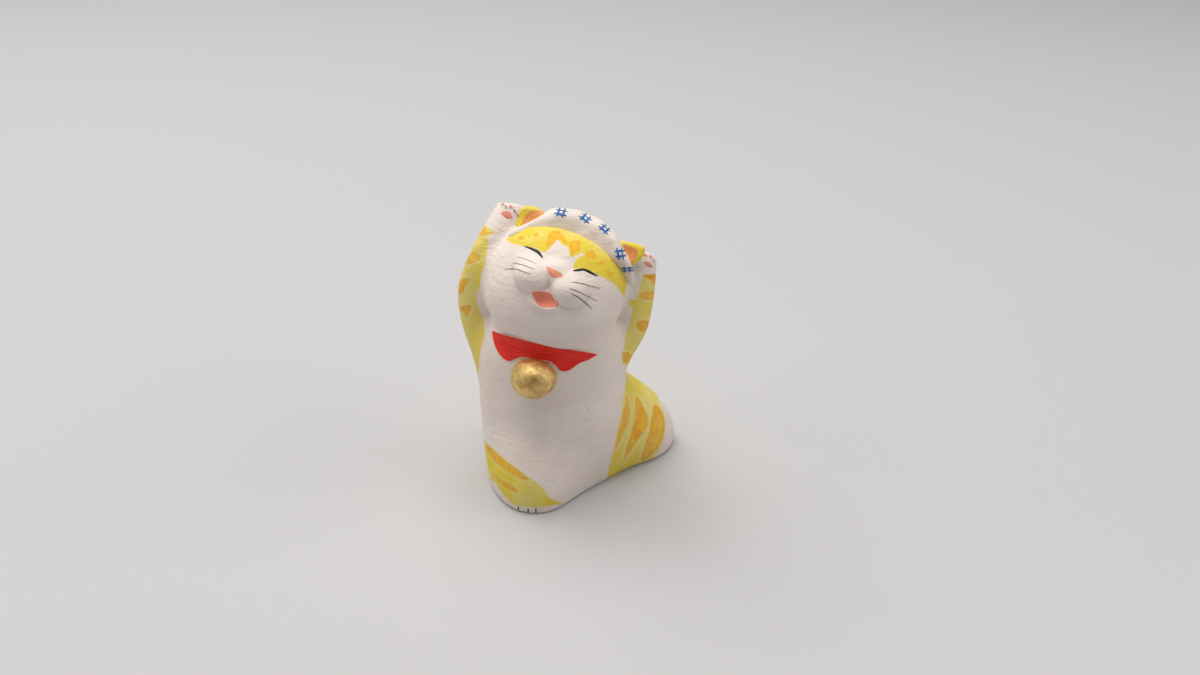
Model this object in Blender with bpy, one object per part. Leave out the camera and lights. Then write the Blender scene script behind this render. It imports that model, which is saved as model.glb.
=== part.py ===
"""Lucky cat figurine, hand-built in clay.

A hollow body and a hollow head, each pressed in two halves and luted along a seam, stand on a
base slab with a firing vent. Solid clay legs, feet, arms, ears, muzzle, tail, head cloth, collar
and bell are luted on. The cat faces -Y, +X is the cat's left side, and +Z is up. The origin is
on the table, under the middle of the chest.
"""

from math import cos, exp, pi, radians, sin

import bmesh
import bpy
from mathutils import Matrix, Vector

MM = 0.001

# Clay joints
CLEARANCE = 0.3 * MM  # slip joint between two luted pieces
WALL = 3.0 * MM  # pressed clay wall of the body and the head

# Body: oval sections from the table up, as width across, depth, level and turn
BODY_HEIGHT = 47.0 * MM  # from the table to the neck
SOLE_INSET = 1.2 * MM  # how far the rim tucks in at the table
HIP_WIDTH = 37.0 * MM
HIP_DEPTH = 27.0 * MM
HIP_LEVEL = 0.085  # share of the body's height, here and below
HIP_SHIFT = 2.0 * MM  # its middle, towards the cat's left, here and below
HIP_BACK = 2.6 * MM  # its middle, behind the origin, here and below
HIP_TURN = radians(34)  # the hips swing round, the cat's left leg going back
WAIST_WIDTH = 36.6 * MM
WAIST_DEPTH = 30.0 * MM
WAIST_LEVEL = 0.362
CHEST_WIDTH = 34.8 * MM
CHEST_DEPTH = 29.0 * MM
CHEST_LEVEL = 0.617
CHEST_SHIFT = 0.4 * MM
CHEST_BACK = 1.2 * MM
SHOULDER_WIDTH = 32.4 * MM
SHOULDER_DEPTH = 28.4 * MM
SHOULDER_LEVEL = 0.809
NECK_WIDTH = 26.0 * MM
NECK_DEPTH = 25.2 * MM
NECK_SHIFT = 0.9 * MM
NECK_BACK = -1.2 * MM
BODY_SIDES = 36
BODY_STEPS = 3  # rings from one section to the next

# Base slab and its firing vent
SLAB_THICKNESS = 3.0 * MM
VENT_DIAMETER = 7.0 * MM
VENT_BACK = 7.0 * MM  # behind the origin

# Head, in its own frame: -Y out of the face and +Z to the crown
HEAD_WIDTH = 31.0 * MM
HEAD_DEPTH = 29.0 * MM
HEAD_HEIGHT = 28.8 * MM
HEAD_FULLNESS = 2.25  # 2 is an ellipsoid, more is squarer
HEAD_SHIFT = 1.6 * MM  # its middle, towards the cat's left
HEAD_AHEAD = 2.0 * MM  # its middle, in front of the origin
HEAD_RISE = 5.7 * MM  # its middle, above the neck
HEAD_TILT_BACK = radians(27)
HEAD_ROLL = radians(20)
HEAD_TURN = radians(6)  # the face looks a little to the cat's right
NECK_VENT_DIAMETER = 8.0 * MM

# Muzzle and mouth
MUZZLE_WIDTH = 10.0 * MM  # of one pad, here and below
MUZZLE_DEPTH = 9.6 * MM
MUZZLE_HEIGHT = 8.0 * MM
MUZZLE_SPREAD = 8.2 * MM  # between the middles of the two pads
MUZZLE_SHIFT = 0.7 * MM  # towards the cat's left
MUZZLE_RISE = 0.7 * MM  # above the head's middle
MUZZLE_PROUD = 2.6 * MM  # how far the pads stand out of the face
NOSE_DIAMETER = 5.0 * MM
NOSE_PROUD = 1.5 * MM
NOSE_RISE = 3.3 * MM  # above the head's middle
LIP_WIDTH = 7.8 * MM
LIP_DEPTH = 5.2 * MM
LIP_HEIGHT = 5.0 * MM
LIP_PROUD = 1.1 * MM
LIP_DROP = 3.2 * MM  # below the head's middle
MOUTH_WIDTH = 6.0 * MM
MOUTH_HEIGHT = 3.5 * MM
MOUTH_DROP = 2.9 * MM  # below the head's middle
MOUTH_DEPTH = 1.0 * MM

# Ears: the two are set a little apart from each other in height and place
EAR_WIDTH = 9.2 * MM
EAR_THICKNESS = 4.4 * MM
EAR_TIP = 3.4 * MM  # width of the blunt tip
EAR_ROOT = 2.0 * MM  # part of the ear's cone that is scraped to the head's curve
RIGHT_EAR_HEIGHT = 3.5 * MM  # out of the head
RIGHT_EAR_SPLAY = radians(39)  # from the crown, to the side
RIGHT_EAR_LEAN = radians(15)  # how much further out it points
RIGHT_EAR_BACK = -2.0 * MM
LEFT_EAR_HEIGHT = 6.4 * MM
LEFT_EAR_SPLAY = radians(44.5)
LEFT_EAR_LEAN = radians(7)
LEFT_EAR_BACK = 0.0 * MM
EAR_HOLLOW_DEPTH = 0.7 * MM

# Head cloth: a sheet of clay over the crown, open round the face
CLOTH_THICKNESS = 2.2 * MM  # at the sides and behind
CLOTH_CROWN = 3.4 * MM  # thickness over the crown
CLOTH_OPENING = 6.5 * MM  # front edge, in front of the head's middle
CLOTH_NOD = radians(5)  # the front edge leans forward at the crown
CLOTH_SKEW = radians(4.5)  # the front edge is further forward on the cat's right
CLOTH_SIDE = 8.5 * MM  # lower edge beside the face, above the head's middle
CLOTH_SLOPE = radians(22)  # the lower edge drops towards the nape
CLOTH_LEAN = radians(-8)  # the lower edge is higher on the cat's left
CLOTH_TUCK_RIGHT = 0.5 * MM  # drawn in round the ears
CLOTH_TUCK_LEFT = 0.8 * MM
CLOTH_TUCK_REACH = 5.0 * MM
CLOTH_THINNER = 1.3 * MM  # at the cat's right
CLOTH_THIN_FROM = 2.0 * MM  # from this far out, over the next length
CLOTH_THIN_OVER = 9.0 * MM

# Arms, raised beside the head
ARM_DIAMETER = 8.2 * MM
PAW_DIAMETER = 8.2 * MM
ARM_BACK = 3.0 * MM  # how far the middle of the arm is behind the origin, here and below
ELBOW_BACK = 4.0 * MM
PAW_BACK = 6.0 * MM
RIGHT_WRIST_BACK = 1.6 * MM  # this arm folds over the edge of the head cloth
LEFT_WRIST_BACK = 5.0 * MM
RIGHT_ELBOW_OUT = 3.2 * MM  # beyond half of the head's width, here and below
RIGHT_WRIST_OUT = -1.0 * MM
RIGHT_PAW_OUT = -6.1 * MM
LEFT_ELBOW_OUT = 2.5 * MM
LEFT_WRIST_OUT = 3.5 * MM
LEFT_PAW_OUT = 3.6 * MM
RIGHT_ELBOW_RISE = -4.0 * MM  # above the head's middle, here and below
RIGHT_WRIST_RISE = 7.7 * MM
RIGHT_PAW_RISE = 14.5 * MM
LEFT_ELBOW_RISE = -11.4 * MM
LEFT_WRIST_RISE = -3.3 * MM
LEFT_PAW_RISE = 3.2 * MM
PAW_END = 2.0 * MM  # the flat end of each paw, beyond its middle
PAW_LEAN = radians(30)  # the flat ends lean back
RIGHT_PAW_TILT = radians(10)  # and to the cat's left
LEFT_PAW_TILT = radians(30)
ARM_CURVE_SIDES = 5

# Legs
HAUNCH_LENGTH = 43.0 * MM
HAUNCH_WIDTH = 23.2 * MM
HAUNCH_THICKNESS = 24.6 * MM
HAUNCH_OUT = 0.31  # its middle from the hips' middle, as a share of the hips' width
HAUNCH_BEHIND = 0.222  # the same, as a share of the hips' depth
HAUNCH_RISE = 11.2 * MM  # its middle, above the table
HAUNCH_DIP = radians(38.6)  # its outer end goes down towards the table
HAUNCH_TURN = radians(23)  # its outer end goes back
THIGH_WIDTH = 22.0 * MM
THIGH_DEPTH = 27.6 * MM
THIGH_HEIGHT = 22.0 * MM
THIGH_OUT = 0.157  # its middle from the hips' middle, to the other side
THIGH_AHEAD = 0.222
THIGH_RISE = 5.0 * MM
LEG_SKIRT = 1.1  # slip worked into the joint: a wider, flatter form round the root of each leg
LEG_SKIRT_LOW = 0.95

# Tail, collar and bell
TAIL_DIAMETER = 8.5 * MM
TAIL_SHIFT = -4.5 * MM  # towards the cat's right, clear of the haunch
TAIL_LEVEL = 0.191  # of its middle, as a share of the body's height, here and below
COLLAR_THICKNESS = 0.9 * MM
COLLAR_WIDTH = 24.0 * MM
COLLAR_SHIFT = 1.0 * MM  # its middle, towards the cat's right
COLLAR_DROP = 5.6 * MM
COLLAR_LEVEL = 0.894  # of its top edge, in the middle
COLLAR_TILT = radians(8)
COLLAR_POINTS = 28
BELL_DIAMETER = 9.8 * MM
BELL_SHIFT = -3.0 * MM
BELL_LEVEL = 0.787
BELL_PROUD = 6.2 * MM  # how far it stands out of the chest

# Middles that follow from the sizes above
HIP_CENTRE = Vector((HIP_SHIFT, HIP_BACK, 0))
CHEST_CENTRE = Vector((CHEST_SHIFT, CHEST_BACK, 0))
NECK_CENTRE = Vector((NECK_SHIFT, NECK_BACK, 0))
HEAD_CENTRE = Vector((HEAD_SHIFT, -HEAD_AHEAD, BODY_HEIGHT + HEAD_RISE))
HAUNCH_CENTRE = HIP_CENTRE + Vector((HIP_WIDTH * HAUNCH_OUT, HIP_DEPTH * HAUNCH_BEHIND, HAUNCH_RISE))
THIGH_CENTRE = HIP_CENTRE + Vector((-HIP_WIDTH * THIGH_OUT, -HIP_DEPTH * THIGH_AHEAD, THIGH_RISE))

REACH = 120 * MM  # longer than the figure, for cutters
BALL_SIDES = 32


# Scene, materials and modifiers

def new_collection(name):
    made = bpy.data.collections.new(name)
    bpy.context.scene.collection.children.link(made)
    return made


def finish(name, colour, roughness, metallic=0.0):
    """A Principled material for one paint or clay finish."""
    made = bpy.data.materials.new(name)
    made.use_nodes = True
    shader = made.node_tree.nodes["Principled BSDF"]
    shader.inputs["Base Color"].default_value = (*colour, 1.0)
    shader.inputs["Roughness"].default_value = roughness
    shader.inputs["Metallic"].default_value = metallic
    return made


def add_object(name, mesh, group, paint=None):
    """A piece, or a hidden cutter where it has no paint."""
    made = bpy.data.objects.new(name, mesh)
    group.objects.link(made)
    if paint:
        mesh.materials.append(paint)
        mesh.shade_smooth()
        mesh.set_sharp_from_angle(angle=radians(35))
    else:
        made.hide_render = True
        made.display_type = "WIRE"
    return made


def place(obj, location=(0, 0, 0), rotation=(0, 0, 0), parent=None):
    obj.parent = parent
    obj.location = location
    obj.rotation_euler = rotation
    return obj


def boolean(obj, cutter, operation="DIFFERENCE"):
    step = obj.modifiers.new(f"{operation.lower()} {cutter.name}", "BOOLEAN")
    step.operation = operation
    step.object = cutter


def cut(obj, *cutters):
    for cutter in cutters:
        boolean(obj, cutter)


# Forms

def mesh_from(bm, name):
    mesh = bpy.data.meshes.new(name)
    bmesh.ops.recalc_face_normals(bm, faces=bm.faces)
    bm.to_mesh(mesh)
    bm.free()
    return mesh


def ball_mesh(name, radii, fullness=2.0, sides=BALL_SIDES):
    """A ball with the given radii. Fullness 2 is an ellipsoid, more is squarer."""
    bm = bmesh.new()
    bmesh.ops.create_uvsphere(bm, u_segments=sides, v_segments=sides * 5 // 8, radius=1)
    for vert in bm.verts:
        size = sum(abs(c) ** fullness for c in vert.co) ** (1 / fullness)
        vert.co = Vector(c / size * r for c, r in zip(vert.co, radii))
    return mesh_from(bm, name)


def box_mesh(name, low, high):
    """A block between two opposite corners."""
    bm = bmesh.new()
    bmesh.ops.create_cube(bm, size=1)
    low, high = Vector(low), Vector(high)
    for vert in bm.verts:
        vert.co = Vector(l if c < 0 else h for c, l, h in zip(vert.co, low, high))
    return mesh_from(bm, name)


def loft_mesh(name, rings):
    """A closed skin through rings with the same number of points, with flat ends."""
    bm = bmesh.new()
    loops = [[bm.verts.new(point) for point in ring] for ring in rings]
    for lower, upper in zip(loops, loops[1:]):
        for i in range(len(lower)):
            j = (i + 1) % len(lower)
            bm.faces.new((lower[i], lower[j], upper[j], upper[i]))
    bm.faces.new(loops[0])
    bm.faces.new(loops[-1])
    return mesh_from(bm, name)


def evaluated_mesh(obj):
    """The object's finished mesh, with loose caps welded. The object itself is removed."""
    bpy.context.view_layer.update()
    graph = bpy.context.evaluated_depsgraph_get()
    mesh = bpy.data.meshes.new_from_object(obj.evaluated_get(graph))
    bpy.data.objects.remove(obj)
    bm = bmesh.new()
    bm.from_mesh(mesh)
    bmesh.ops.remove_doubles(bm, verts=bm.verts, dist=0.01 * MM)
    bm.to_mesh(mesh)
    bm.free()
    return mesh


def smooth_between(before, start, end, after, t):
    """A point on the Catmull-Rom curve from start to end."""
    bend = 2 * before - 5 * start + 4 * end - after
    return 0.5 * (
        2 * start + (end - before) * t + bend * t**2 + (3 * start - before - 3 * end + after) * t**3
    )


def smooth_values(stations, steps):
    """Rows of numbers along a smooth curve through the stations."""
    rows = [Vector(s) for s in stations]
    padded = [2 * rows[0] - rows[1], *rows, 2 * rows[-1] - rows[-2]]
    found = []
    for i in range(len(rows) - 1):
        span = padded[i : i + 4]
        found += [smooth_between(*span, step / steps) for step in range(steps)]
    return [*found, rows[-1]]


def limb_mesh(name, points, radii, group, tip_steps=5, steps=4):
    """A round limb through the points, with a round tip at its far end."""
    rows = smooth_values([(*p, r) for p, r in zip(points, radii)], steps)
    line = [(row.to_3d(), row[3]) for row in rows]
    (near, _), (end, radius) = line[-2], line[-1]
    ahead = (end - near).normalized()
    for step in range(1, tip_steps + 1):
        angle = step / (tip_steps + 0.5) * pi / 2
        line.append((end + ahead * radius * sin(angle), radius * cos(angle)))
    curve = bpy.data.curves.new(name, "CURVE")
    curve.dimensions = "3D"
    curve.bevel_depth = max(radii)
    curve.bevel_resolution = ARM_CURVE_SIDES
    curve.use_fill_caps = True
    spline = curve.splines.new("POLY")
    spline.points.add(len(line) - 1)
    for point, (at, width) in zip(spline.points, line):
        point.co = (*at, 1)
        point.radius = width / curve.bevel_depth
    guide = bpy.data.objects.new(name, curve)
    group.objects.link(guide)
    return evaluated_mesh(guide)


def prism_mesh(name, outline, depth, group):
    """A flat outline, drawn in X and Z, made a block that runs from Y = 0 to -depth."""
    curve = bpy.data.curves.new(name, "CURVE")
    curve.dimensions = "2D"
    curve.fill_mode = "BOTH"
    curve.extrude = depth / 2
    spline = curve.splines.new("POLY")
    spline.points.add(len(outline) - 1)
    for point, (x, z) in zip(spline.points, outline):
        point.co = (x, z, 0, 1)
    spline.use_cyclic_u = True
    guide = bpy.data.objects.new(name, curve)
    group.objects.link(guide)
    mesh = evaluated_mesh(guide)
    mesh.transform(Matrix.Translation((0, -depth / 2, 0)) @ Matrix.Rotation(pi / 2, 4, "X"))
    return mesh


# Body

def body_stations():
    """Rows of height, middle x and y, half width, half depth and turn, from the table up."""
    tuck = 2 * SOLE_INSET
    waist, shoulder = (HIP_CENTRE + CHEST_CENTRE) / 2, (CHEST_CENTRE + NECK_CENTRE) / 2
    rows = (
        (0.0, HIP_CENTRE, HIP_WIDTH - tuck, HIP_DEPTH - tuck, HIP_TURN),
        (HIP_LEVEL, HIP_CENTRE, HIP_WIDTH, HIP_DEPTH, HIP_TURN),
        (WAIST_LEVEL, waist, WAIST_WIDTH, WAIST_DEPTH, HIP_TURN / 3),
        (CHEST_LEVEL, CHEST_CENTRE, CHEST_WIDTH, CHEST_DEPTH, 0.0),
        (SHOULDER_LEVEL, shoulder, SHOULDER_WIDTH, SHOULDER_DEPTH, 0.0),
        (1.0, NECK_CENTRE, NECK_WIDTH, NECK_DEPTH, 0.0),
    )
    return [(level * BODY_HEIGHT, c.x, c.y, wide / 2, deep / 2, turn) for level, c, wide, deep, turn in rows]


def body_section(height):
    """Middle x and y, half width, half depth and turn of the body at a height."""
    rows = smooth_values(body_stations(), BODY_STEPS)
    for lower, upper in zip(rows, rows[1:]):
        if lower[0] <= height <= upper[0]:
            return lower.lerp(upper, (height - lower[0]) / (upper[0] - lower[0]))[1:]
    return (rows[0] if height < rows[0][0] else rows[-1])[1:]


def body_ring(height, grow):
    """The body's outline at a height, drawn out by grow."""
    x, y, wide, deep, turn = body_section(height)
    ring = []
    for i in range(BODY_SIDES):
        angle = 2 * pi * i / BODY_SIDES - turn
        across, along = (wide + grow) * cos(angle), (deep + grow) * sin(angle)
        ring.append(
            (
                x + across * cos(turn) - along * sin(turn),
                y + across * sin(turn) + along * cos(turn),
                height,
            )
        )
    return ring


def body_mesh(name, grow, low=0.0, high=BODY_HEIGHT):
    """The body's form between two heights. Every form has the same rings, so that they nest."""
    inside = [row[0] for row in smooth_values(body_stations(), BODY_STEPS) if low < row[0] < high]
    return loft_mesh(name, [body_ring(height, grow) for height in (low, *inside, high)])


def front_of_body(x, height):
    """The y of the body's front at a place seen from the front, near enough to seat a bead."""
    middle_x, middle_y, wide, deep, _ = body_section(height)
    return middle_y - deep * (1 - ((x - middle_x) / wide) ** 2) ** 0.5


def back_of_body(x, height):
    """The y of the body's back at a place seen from behind, with the turn of the section."""
    middle_x, middle_y, wide, deep, turn = body_section(height)
    dx, c, s = x - middle_x, cos(turn), sin(turn)
    a = (s / wide) ** 2 + (c / deep) ** 2
    b = 2 * dx * c * s * (wide**-2 - deep**-2)
    rest = dx**2 * ((c / wide) ** 2 + (s / deep) ** 2) - 1
    return middle_y + (-b + (b**2 - 4 * a * rest) ** 0.5) / (2 * a)


def build_body(parts, cutters, paint, head_seat):
    """Two pressed half shells, open at the neck, on a slab with the vent."""
    hollow = add_object("body_hollow", body_mesh("body_hollow", -WALL, -WALL, BODY_HEIGHT + WALL), cutters)
    halves = (("torso_front", 1), ("torso_rear", -1))
    for name, side in halves:
        shell = add_object(name, body_mesh(name, 0.0), parts, paint["white"])
        seam = side * (CHEST_CENTRE.y - side * CLEARANCE / 2)
        low, high = sorted((side * seam, side * REACH))
        other = add_object(f"{name}_seam", box_mesh(f"{name}_seam", (-REACH, low, -REACH), (REACH, high, REACH)), cutters)
        cut(shell, hollow, head_seat, other)
    slab = add_object("base_slab", body_mesh("base_slab", -WALL - CLEARANCE, 0.0, SLAB_THICKNESS), parts, paint["white"])
    bm = bmesh.new()
    bmesh.ops.create_cone(
        bm, cap_ends=True, segments=24, radius1=VENT_DIAMETER / 2, radius2=VENT_DIAMETER / 2, depth=4 * SLAB_THICKNESS
    )
    vent = place(add_object("slab_vent", mesh_from(bm, "slab_vent"), cutters), (0, VENT_BACK, 0))
    cut(slab, vent)


# Head

def head_radii(grow=0.0):
    return [size / 2 + grow for size in (HEAD_WIDTH, HEAD_DEPTH, HEAD_HEIGHT)]


def head_ball(name, grow, group, pivot, paint=None):
    return place(
        add_object(name, ball_mesh(name, head_radii(grow), HEAD_FULLNESS), group, paint), parent=pivot
    )


def face_y(x, z):
    """The y of the face's surface, in the head's frame."""
    wide, deep, high = head_radii()
    left = 1 - abs(x / wide) ** HEAD_FULLNESS - abs(z / high) ** HEAD_FULLNESS
    return -deep * left ** (1 / HEAD_FULLNESS)


def build_head(parts, cutters, paint, pivot, head_seat):
    """Two pressed half shells with a neck vent, and the muzzle with its open mouth."""
    hollow = head_ball("head_hollow", -WALL, cutters, pivot)
    pad_radii = (MUZZLE_WIDTH / 2, MUZZLE_DEPTH / 2, MUZZLE_HEIGHT / 2)
    pad_y = face_y(MUZZLE_SPREAD / 2, MUZZLE_RISE) - MUZZLE_PROUD + MUZZLE_DEPTH / 2
    muzzle = add_object("muzzle", ball_mesh("muzzle", pad_radii, sides=24), parts, paint["white"])
    place(muzzle, (MUZZLE_SHIFT - MUZZLE_SPREAD / 2, pad_y, MUZZLE_RISE), parent=pivot)
    nose, lip_y = NOSE_DIAMETER / 2, face_y(0, -LIP_DROP) - LIP_PROUD + LIP_DEPTH / 2
    others = (
        ("muzzle_other_pad", pad_radii, (MUZZLE_SHIFT + MUZZLE_SPREAD / 2, pad_y, MUZZLE_RISE)),
        ("muzzle_nose", [nose] * 3, (MUZZLE_SHIFT, face_y(0, NOSE_RISE) - NOSE_PROUD + nose, NOSE_RISE)),
        ("muzzle_lip", (LIP_WIDTH / 2, LIP_DEPTH / 2, LIP_HEIGHT / 2), (MUZZLE_SHIFT, lip_y, -LIP_DROP)),
    )
    for name, radii, at in others:
        other = place(add_object(name, ball_mesh(name, radii, sides=22), cutters), at, parent=pivot)
        boolean(muzzle, other, "UNION")
    mouth_radii = (MOUTH_WIDTH / 2, MUZZLE_PROUD, MOUTH_HEIGHT / 2)
    mouth = add_object("mouth_recess", ball_mesh("mouth_recess", mouth_radii, sides=20), cutters)
    mouth_y = face_y(0, -MOUTH_DROP) + MOUTH_DEPTH - MUZZLE_PROUD
    place(mouth, (MUZZLE_SHIFT, mouth_y, -MOUTH_DROP), parent=pivot)
    cut(muzzle, head_seat, mouth)
    bm = bmesh.new()
    bmesh.ops.create_cone(
        bm, cap_ends=True, segments=24, radius1=NECK_VENT_DIAMETER / 2, radius2=NECK_VENT_DIAMETER / 2, depth=HEAD_HEIGHT
    )
    vent = add_object("neck_vent", mesh_from(bm, "neck_vent"), cutters)
    place(vent, NECK_CENTRE + Vector((0, 0, HEAD_CENTRE.z - HEAD_HEIGHT / 2)))
    for name, side in (("head_front", 1), ("head_rear", -1)):
        shell = head_ball(name, 0.0, parts, pivot, paint["white"])
        low, high = sorted((-side * CLEARANCE / 2, side * REACH))
        seam = add_object(f"{name}_seam", box_mesh(f"{name}_seam", (-REACH, low, -REACH), (REACH, high, REACH)), cutters)
        place(seam, parent=pivot)
        cut(shell, hollow, vent, seam)
        if side > 0:
            cut(shell, mouth)


def ear_values(side):
    """Height, splay, lean and back of one ear, the cat's left where side is 1."""
    if side > 0:
        return LEFT_EAR_HEIGHT, LEFT_EAR_SPLAY, LEFT_EAR_LEAN, LEFT_EAR_BACK
    return RIGHT_EAR_HEIGHT, RIGHT_EAR_SPLAY, RIGHT_EAR_LEAN, RIGHT_EAR_BACK


def ear_mesh(name, grow, height):
    """A flat, blunt cone that starts inside the head."""
    bm = bmesh.new()
    high = height + EAR_ROOT + grow
    bmesh.ops.create_cone(
        bm, cap_ends=True, segments=20, radius1=EAR_WIDTH / 2 + grow, radius2=EAR_TIP / 2 + grow, depth=high
    )
    flat = (EAR_THICKNESS + 2 * grow) / (EAR_WIDTH + 2 * grow)
    bmesh.ops.scale(bm, vec=(1, flat, 1), verts=bm.verts)
    bmesh.ops.translate(bm, vec=(0, 0, high / 2 - EAR_ROOT), verts=bm.verts)
    return mesh_from(bm, name)


def build_ears(parts, cutters, paint, pivot, head_seat):
    """Two ears on the head, and the grown copies that open the cloth round them."""
    slots = []
    wide, _, high = head_radii()
    for name, side in (("ear_right", -1), ("ear_left", 1)):
        height, splay, lean, back = ear_values(side)
        across, up = sin(splay), cos(splay)
        out = ((across / wide) ** HEAD_FULLNESS + (up / high) ** HEAD_FULLNESS) ** (-1 / HEAD_FULLNESS)
        at = (side * across * out, back, up * out)
        turn = (0, side * (splay + lean), 0)
        ear = place(add_object(name, ear_mesh(name, 0.0, height), parts, paint["yellow"]), at, turn, pivot)
        slot = place(add_object(f"{name}_slot", ear_mesh(f"{name}_slot", CLEARANCE, height), cutters), at, turn, pivot)
        hollow_radii = (EAR_WIDTH * 0.3, EAR_THICKNESS / 2, height * 0.4)
        hollow = add_object(f"{name}_hollow", ball_mesh(f"{name}_hollow", hollow_radii, sides=16), cutters)
        place(hollow, (0, -EAR_THICKNESS + EAR_HOLLOW_DEPTH, height * 0.45), parent=ear)
        cut(ear, head_seat, hollow)
        slots.append(slot)
    return slots


def draw_in(mesh):
    """Draws the cloth in towards the head round both ears."""
    for side, depth in ((-1, CLOTH_TUCK_RIGHT), (1, CLOTH_TUCK_LEFT)):
        _, splay, _, back = ear_values(side)
        axis = Vector((side * sin(splay), 0, cos(splay)))
        across = Vector((cos(splay), 0, -side * sin(splay)))
        for vert in mesh.vertices:
            if vert.co.dot(axis) > 0:
                away = vert.co.dot(across) ** 2 + (vert.co.y - back) ** 2
                vert.co -= vert.co.normalized() * depth * exp(-away / CLOTH_TUCK_REACH**2)
    for vert in mesh.vertices:
        share = min(max((-vert.co.x - CLOTH_THIN_FROM) / CLOTH_THIN_OVER, 0), 1)
        vert.co -= vert.co.normalized() * CLOTH_THINNER * share
    return mesh


def cloth_form(name, grow, group, cutters, pivot, paint=None):
    """The head drawn out by the cloth's thickness, cut at the face and at the lower edge."""
    wide, deep, high = head_radii(CLOTH_THICKNESS + grow)
    radii = (wide, deep, high + CLOTH_CROWN - CLOTH_THICKNESS)
    form = add_object(name, draw_in(ball_mesh(name, radii, HEAD_FULLNESS)), group, paint)
    place(form, parent=pivot)
    front = box_mesh(f"{name}_front", (-REACH, -REACH, -REACH), (REACH, -CLOTH_OPENING - grow, REACH))
    cut(form, place(add_object(f"{name}_front", front, cutters), rotation=(CLOTH_NOD, 0, CLOTH_SKEW), parent=pivot))
    below = box_mesh(f"{name}_below", (-REACH, -REACH, -REACH), (REACH, REACH, -grow))
    edge = place(
        add_object(f"{name}_below", below, cutters), (0, -CLOTH_OPENING, CLOTH_SIDE), (-CLOTH_SLOPE, CLOTH_LEAN, 0), pivot
    )
    cut(form, edge)
    return form


def build_cloth(parts, cutters, paint, pivot, head_seat, body_seat, slots):
    """The head cloth, open round the face and the ears, and the space that it takes."""
    cloth = cloth_form("head_cloth", 0.0, parts, cutters, pivot, paint["white"])
    cut(cloth, head_seat, body_seat, *slots)
    return cloth_form("cloth_space", CLEARANCE, cutters, cutters, pivot)


# Limbs, collar and bell

def arm_points(side):
    """Shoulder, upper arm, elbow, wrist and paw of one arm, the cat's left where side is 1."""
    if side > 0:
        outs = (LEFT_ELBOW_OUT, LEFT_WRIST_OUT, LEFT_PAW_OUT)
        rises = (LEFT_ELBOW_RISE, LEFT_WRIST_RISE, LEFT_PAW_RISE)
        backs = (ELBOW_BACK, LEFT_WRIST_BACK, PAW_BACK)
    else:
        outs = (RIGHT_ELBOW_OUT, RIGHT_WRIST_OUT, RIGHT_PAW_OUT)
        rises = (RIGHT_ELBOW_RISE, RIGHT_WRIST_RISE, RIGHT_PAW_RISE)
        backs = (ELBOW_BACK, RIGHT_WRIST_BACK, PAW_BACK)
    shoulder_x = CHEST_CENTRE.x + side * (CHEST_WIDTH - ARM_DIAMETER) / 2
    points = [Vector((shoulder_x, ARM_BACK, CHEST_LEVEL * BODY_HEIGHT))]
    for out, rise, back in zip(outs, rises, backs):
        points.append(Vector((HEAD_CENTRE.x + side * (HEAD_WIDTH / 2 + out), back, HEAD_CENTRE.z + rise)))
    upper = points[0].lerp(points[1], 0.5) + Vector((side * ARM_DIAMETER / 7, 0, 0))
    return [points[0], upper, *points[1:]]


def build_arms(parts, cutters, paint, body_seat, head_seat, cloth_space, slots):
    arm, paw = ARM_DIAMETER / 2, PAW_DIAMETER / 2
    for name, side in (("arm_right", -1), ("arm_left", 1)):
        mesh = limb_mesh(name, arm_points(side), (arm, arm, arm, paw, paw), parts)
        limb = add_object(name, mesh, parts, paint["yellow"])
        tilt = LEFT_PAW_TILT if side > 0 else RIGHT_PAW_TILT
        turn = Matrix.Rotation(-PAW_LEAN, 3, "X") @ Matrix.Rotation(tilt, 3, "Y")
        end = box_mesh(f"{name}_end", (-REACH, -REACH, PAW_END), (REACH, REACH, REACH))
        flat = place(add_object(f"{name}_end", end, cutters), arm_points(side)[-1], turn.to_euler())
        cut(limb, body_seat, head_seat, cloth_space, flat, *slots)


def build_legs(parts, cutters, paint, body_seat, under):
    """The haunch that swings out to the cat's left, and the thigh of the leg that it stands on."""
    haunch_radii = (HAUNCH_LENGTH / 2, HAUNCH_WIDTH / 2, HAUNCH_THICKNESS / 2)
    thigh_radii = (THIGH_WIDTH / 2, THIGH_DEPTH / 2, THIGH_HEIGHT - THIGH_CENTRE.z)
    legs = (
        ("leg_left", haunch_radii, HAUNCH_CENTRE, (0, HAUNCH_DIP, HAUNCH_TURN), (LEG_SKIRT_LOW, LEG_SKIRT, LEG_SKIRT)),
        ("leg_right", thigh_radii, THIGH_CENTRE, (0, 0, 0), (LEG_SKIRT, LEG_SKIRT_LOW, LEG_SKIRT)),
    )
    for name, radii, centre, turn, skirt in legs:
        leg = place(add_object(name, ball_mesh(name, radii), parts, paint["yellow"]), centre, turn)
        wider = [r * k for r, k in zip(radii, skirt)]
        root = add_object(f"{name}_root", ball_mesh(f"{name}_root", wider, sides=30), cutters)
        boolean(leg, place(root, centre, turn), "UNION")
        cut(leg, body_seat, under)


def build_tail(parts, paint, body_seat):
    height = TAIL_LEVEL * BODY_HEIGHT
    x = body_section(height)[0] + TAIL_SHIFT
    tail = add_object("tail", ball_mesh("tail", [TAIL_DIAMETER / 2] * 3, sides=20), parts, paint["yellow"])
    place(tail, (x, back_of_body(x, height), height))
    cut(tail, body_seat)


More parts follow.
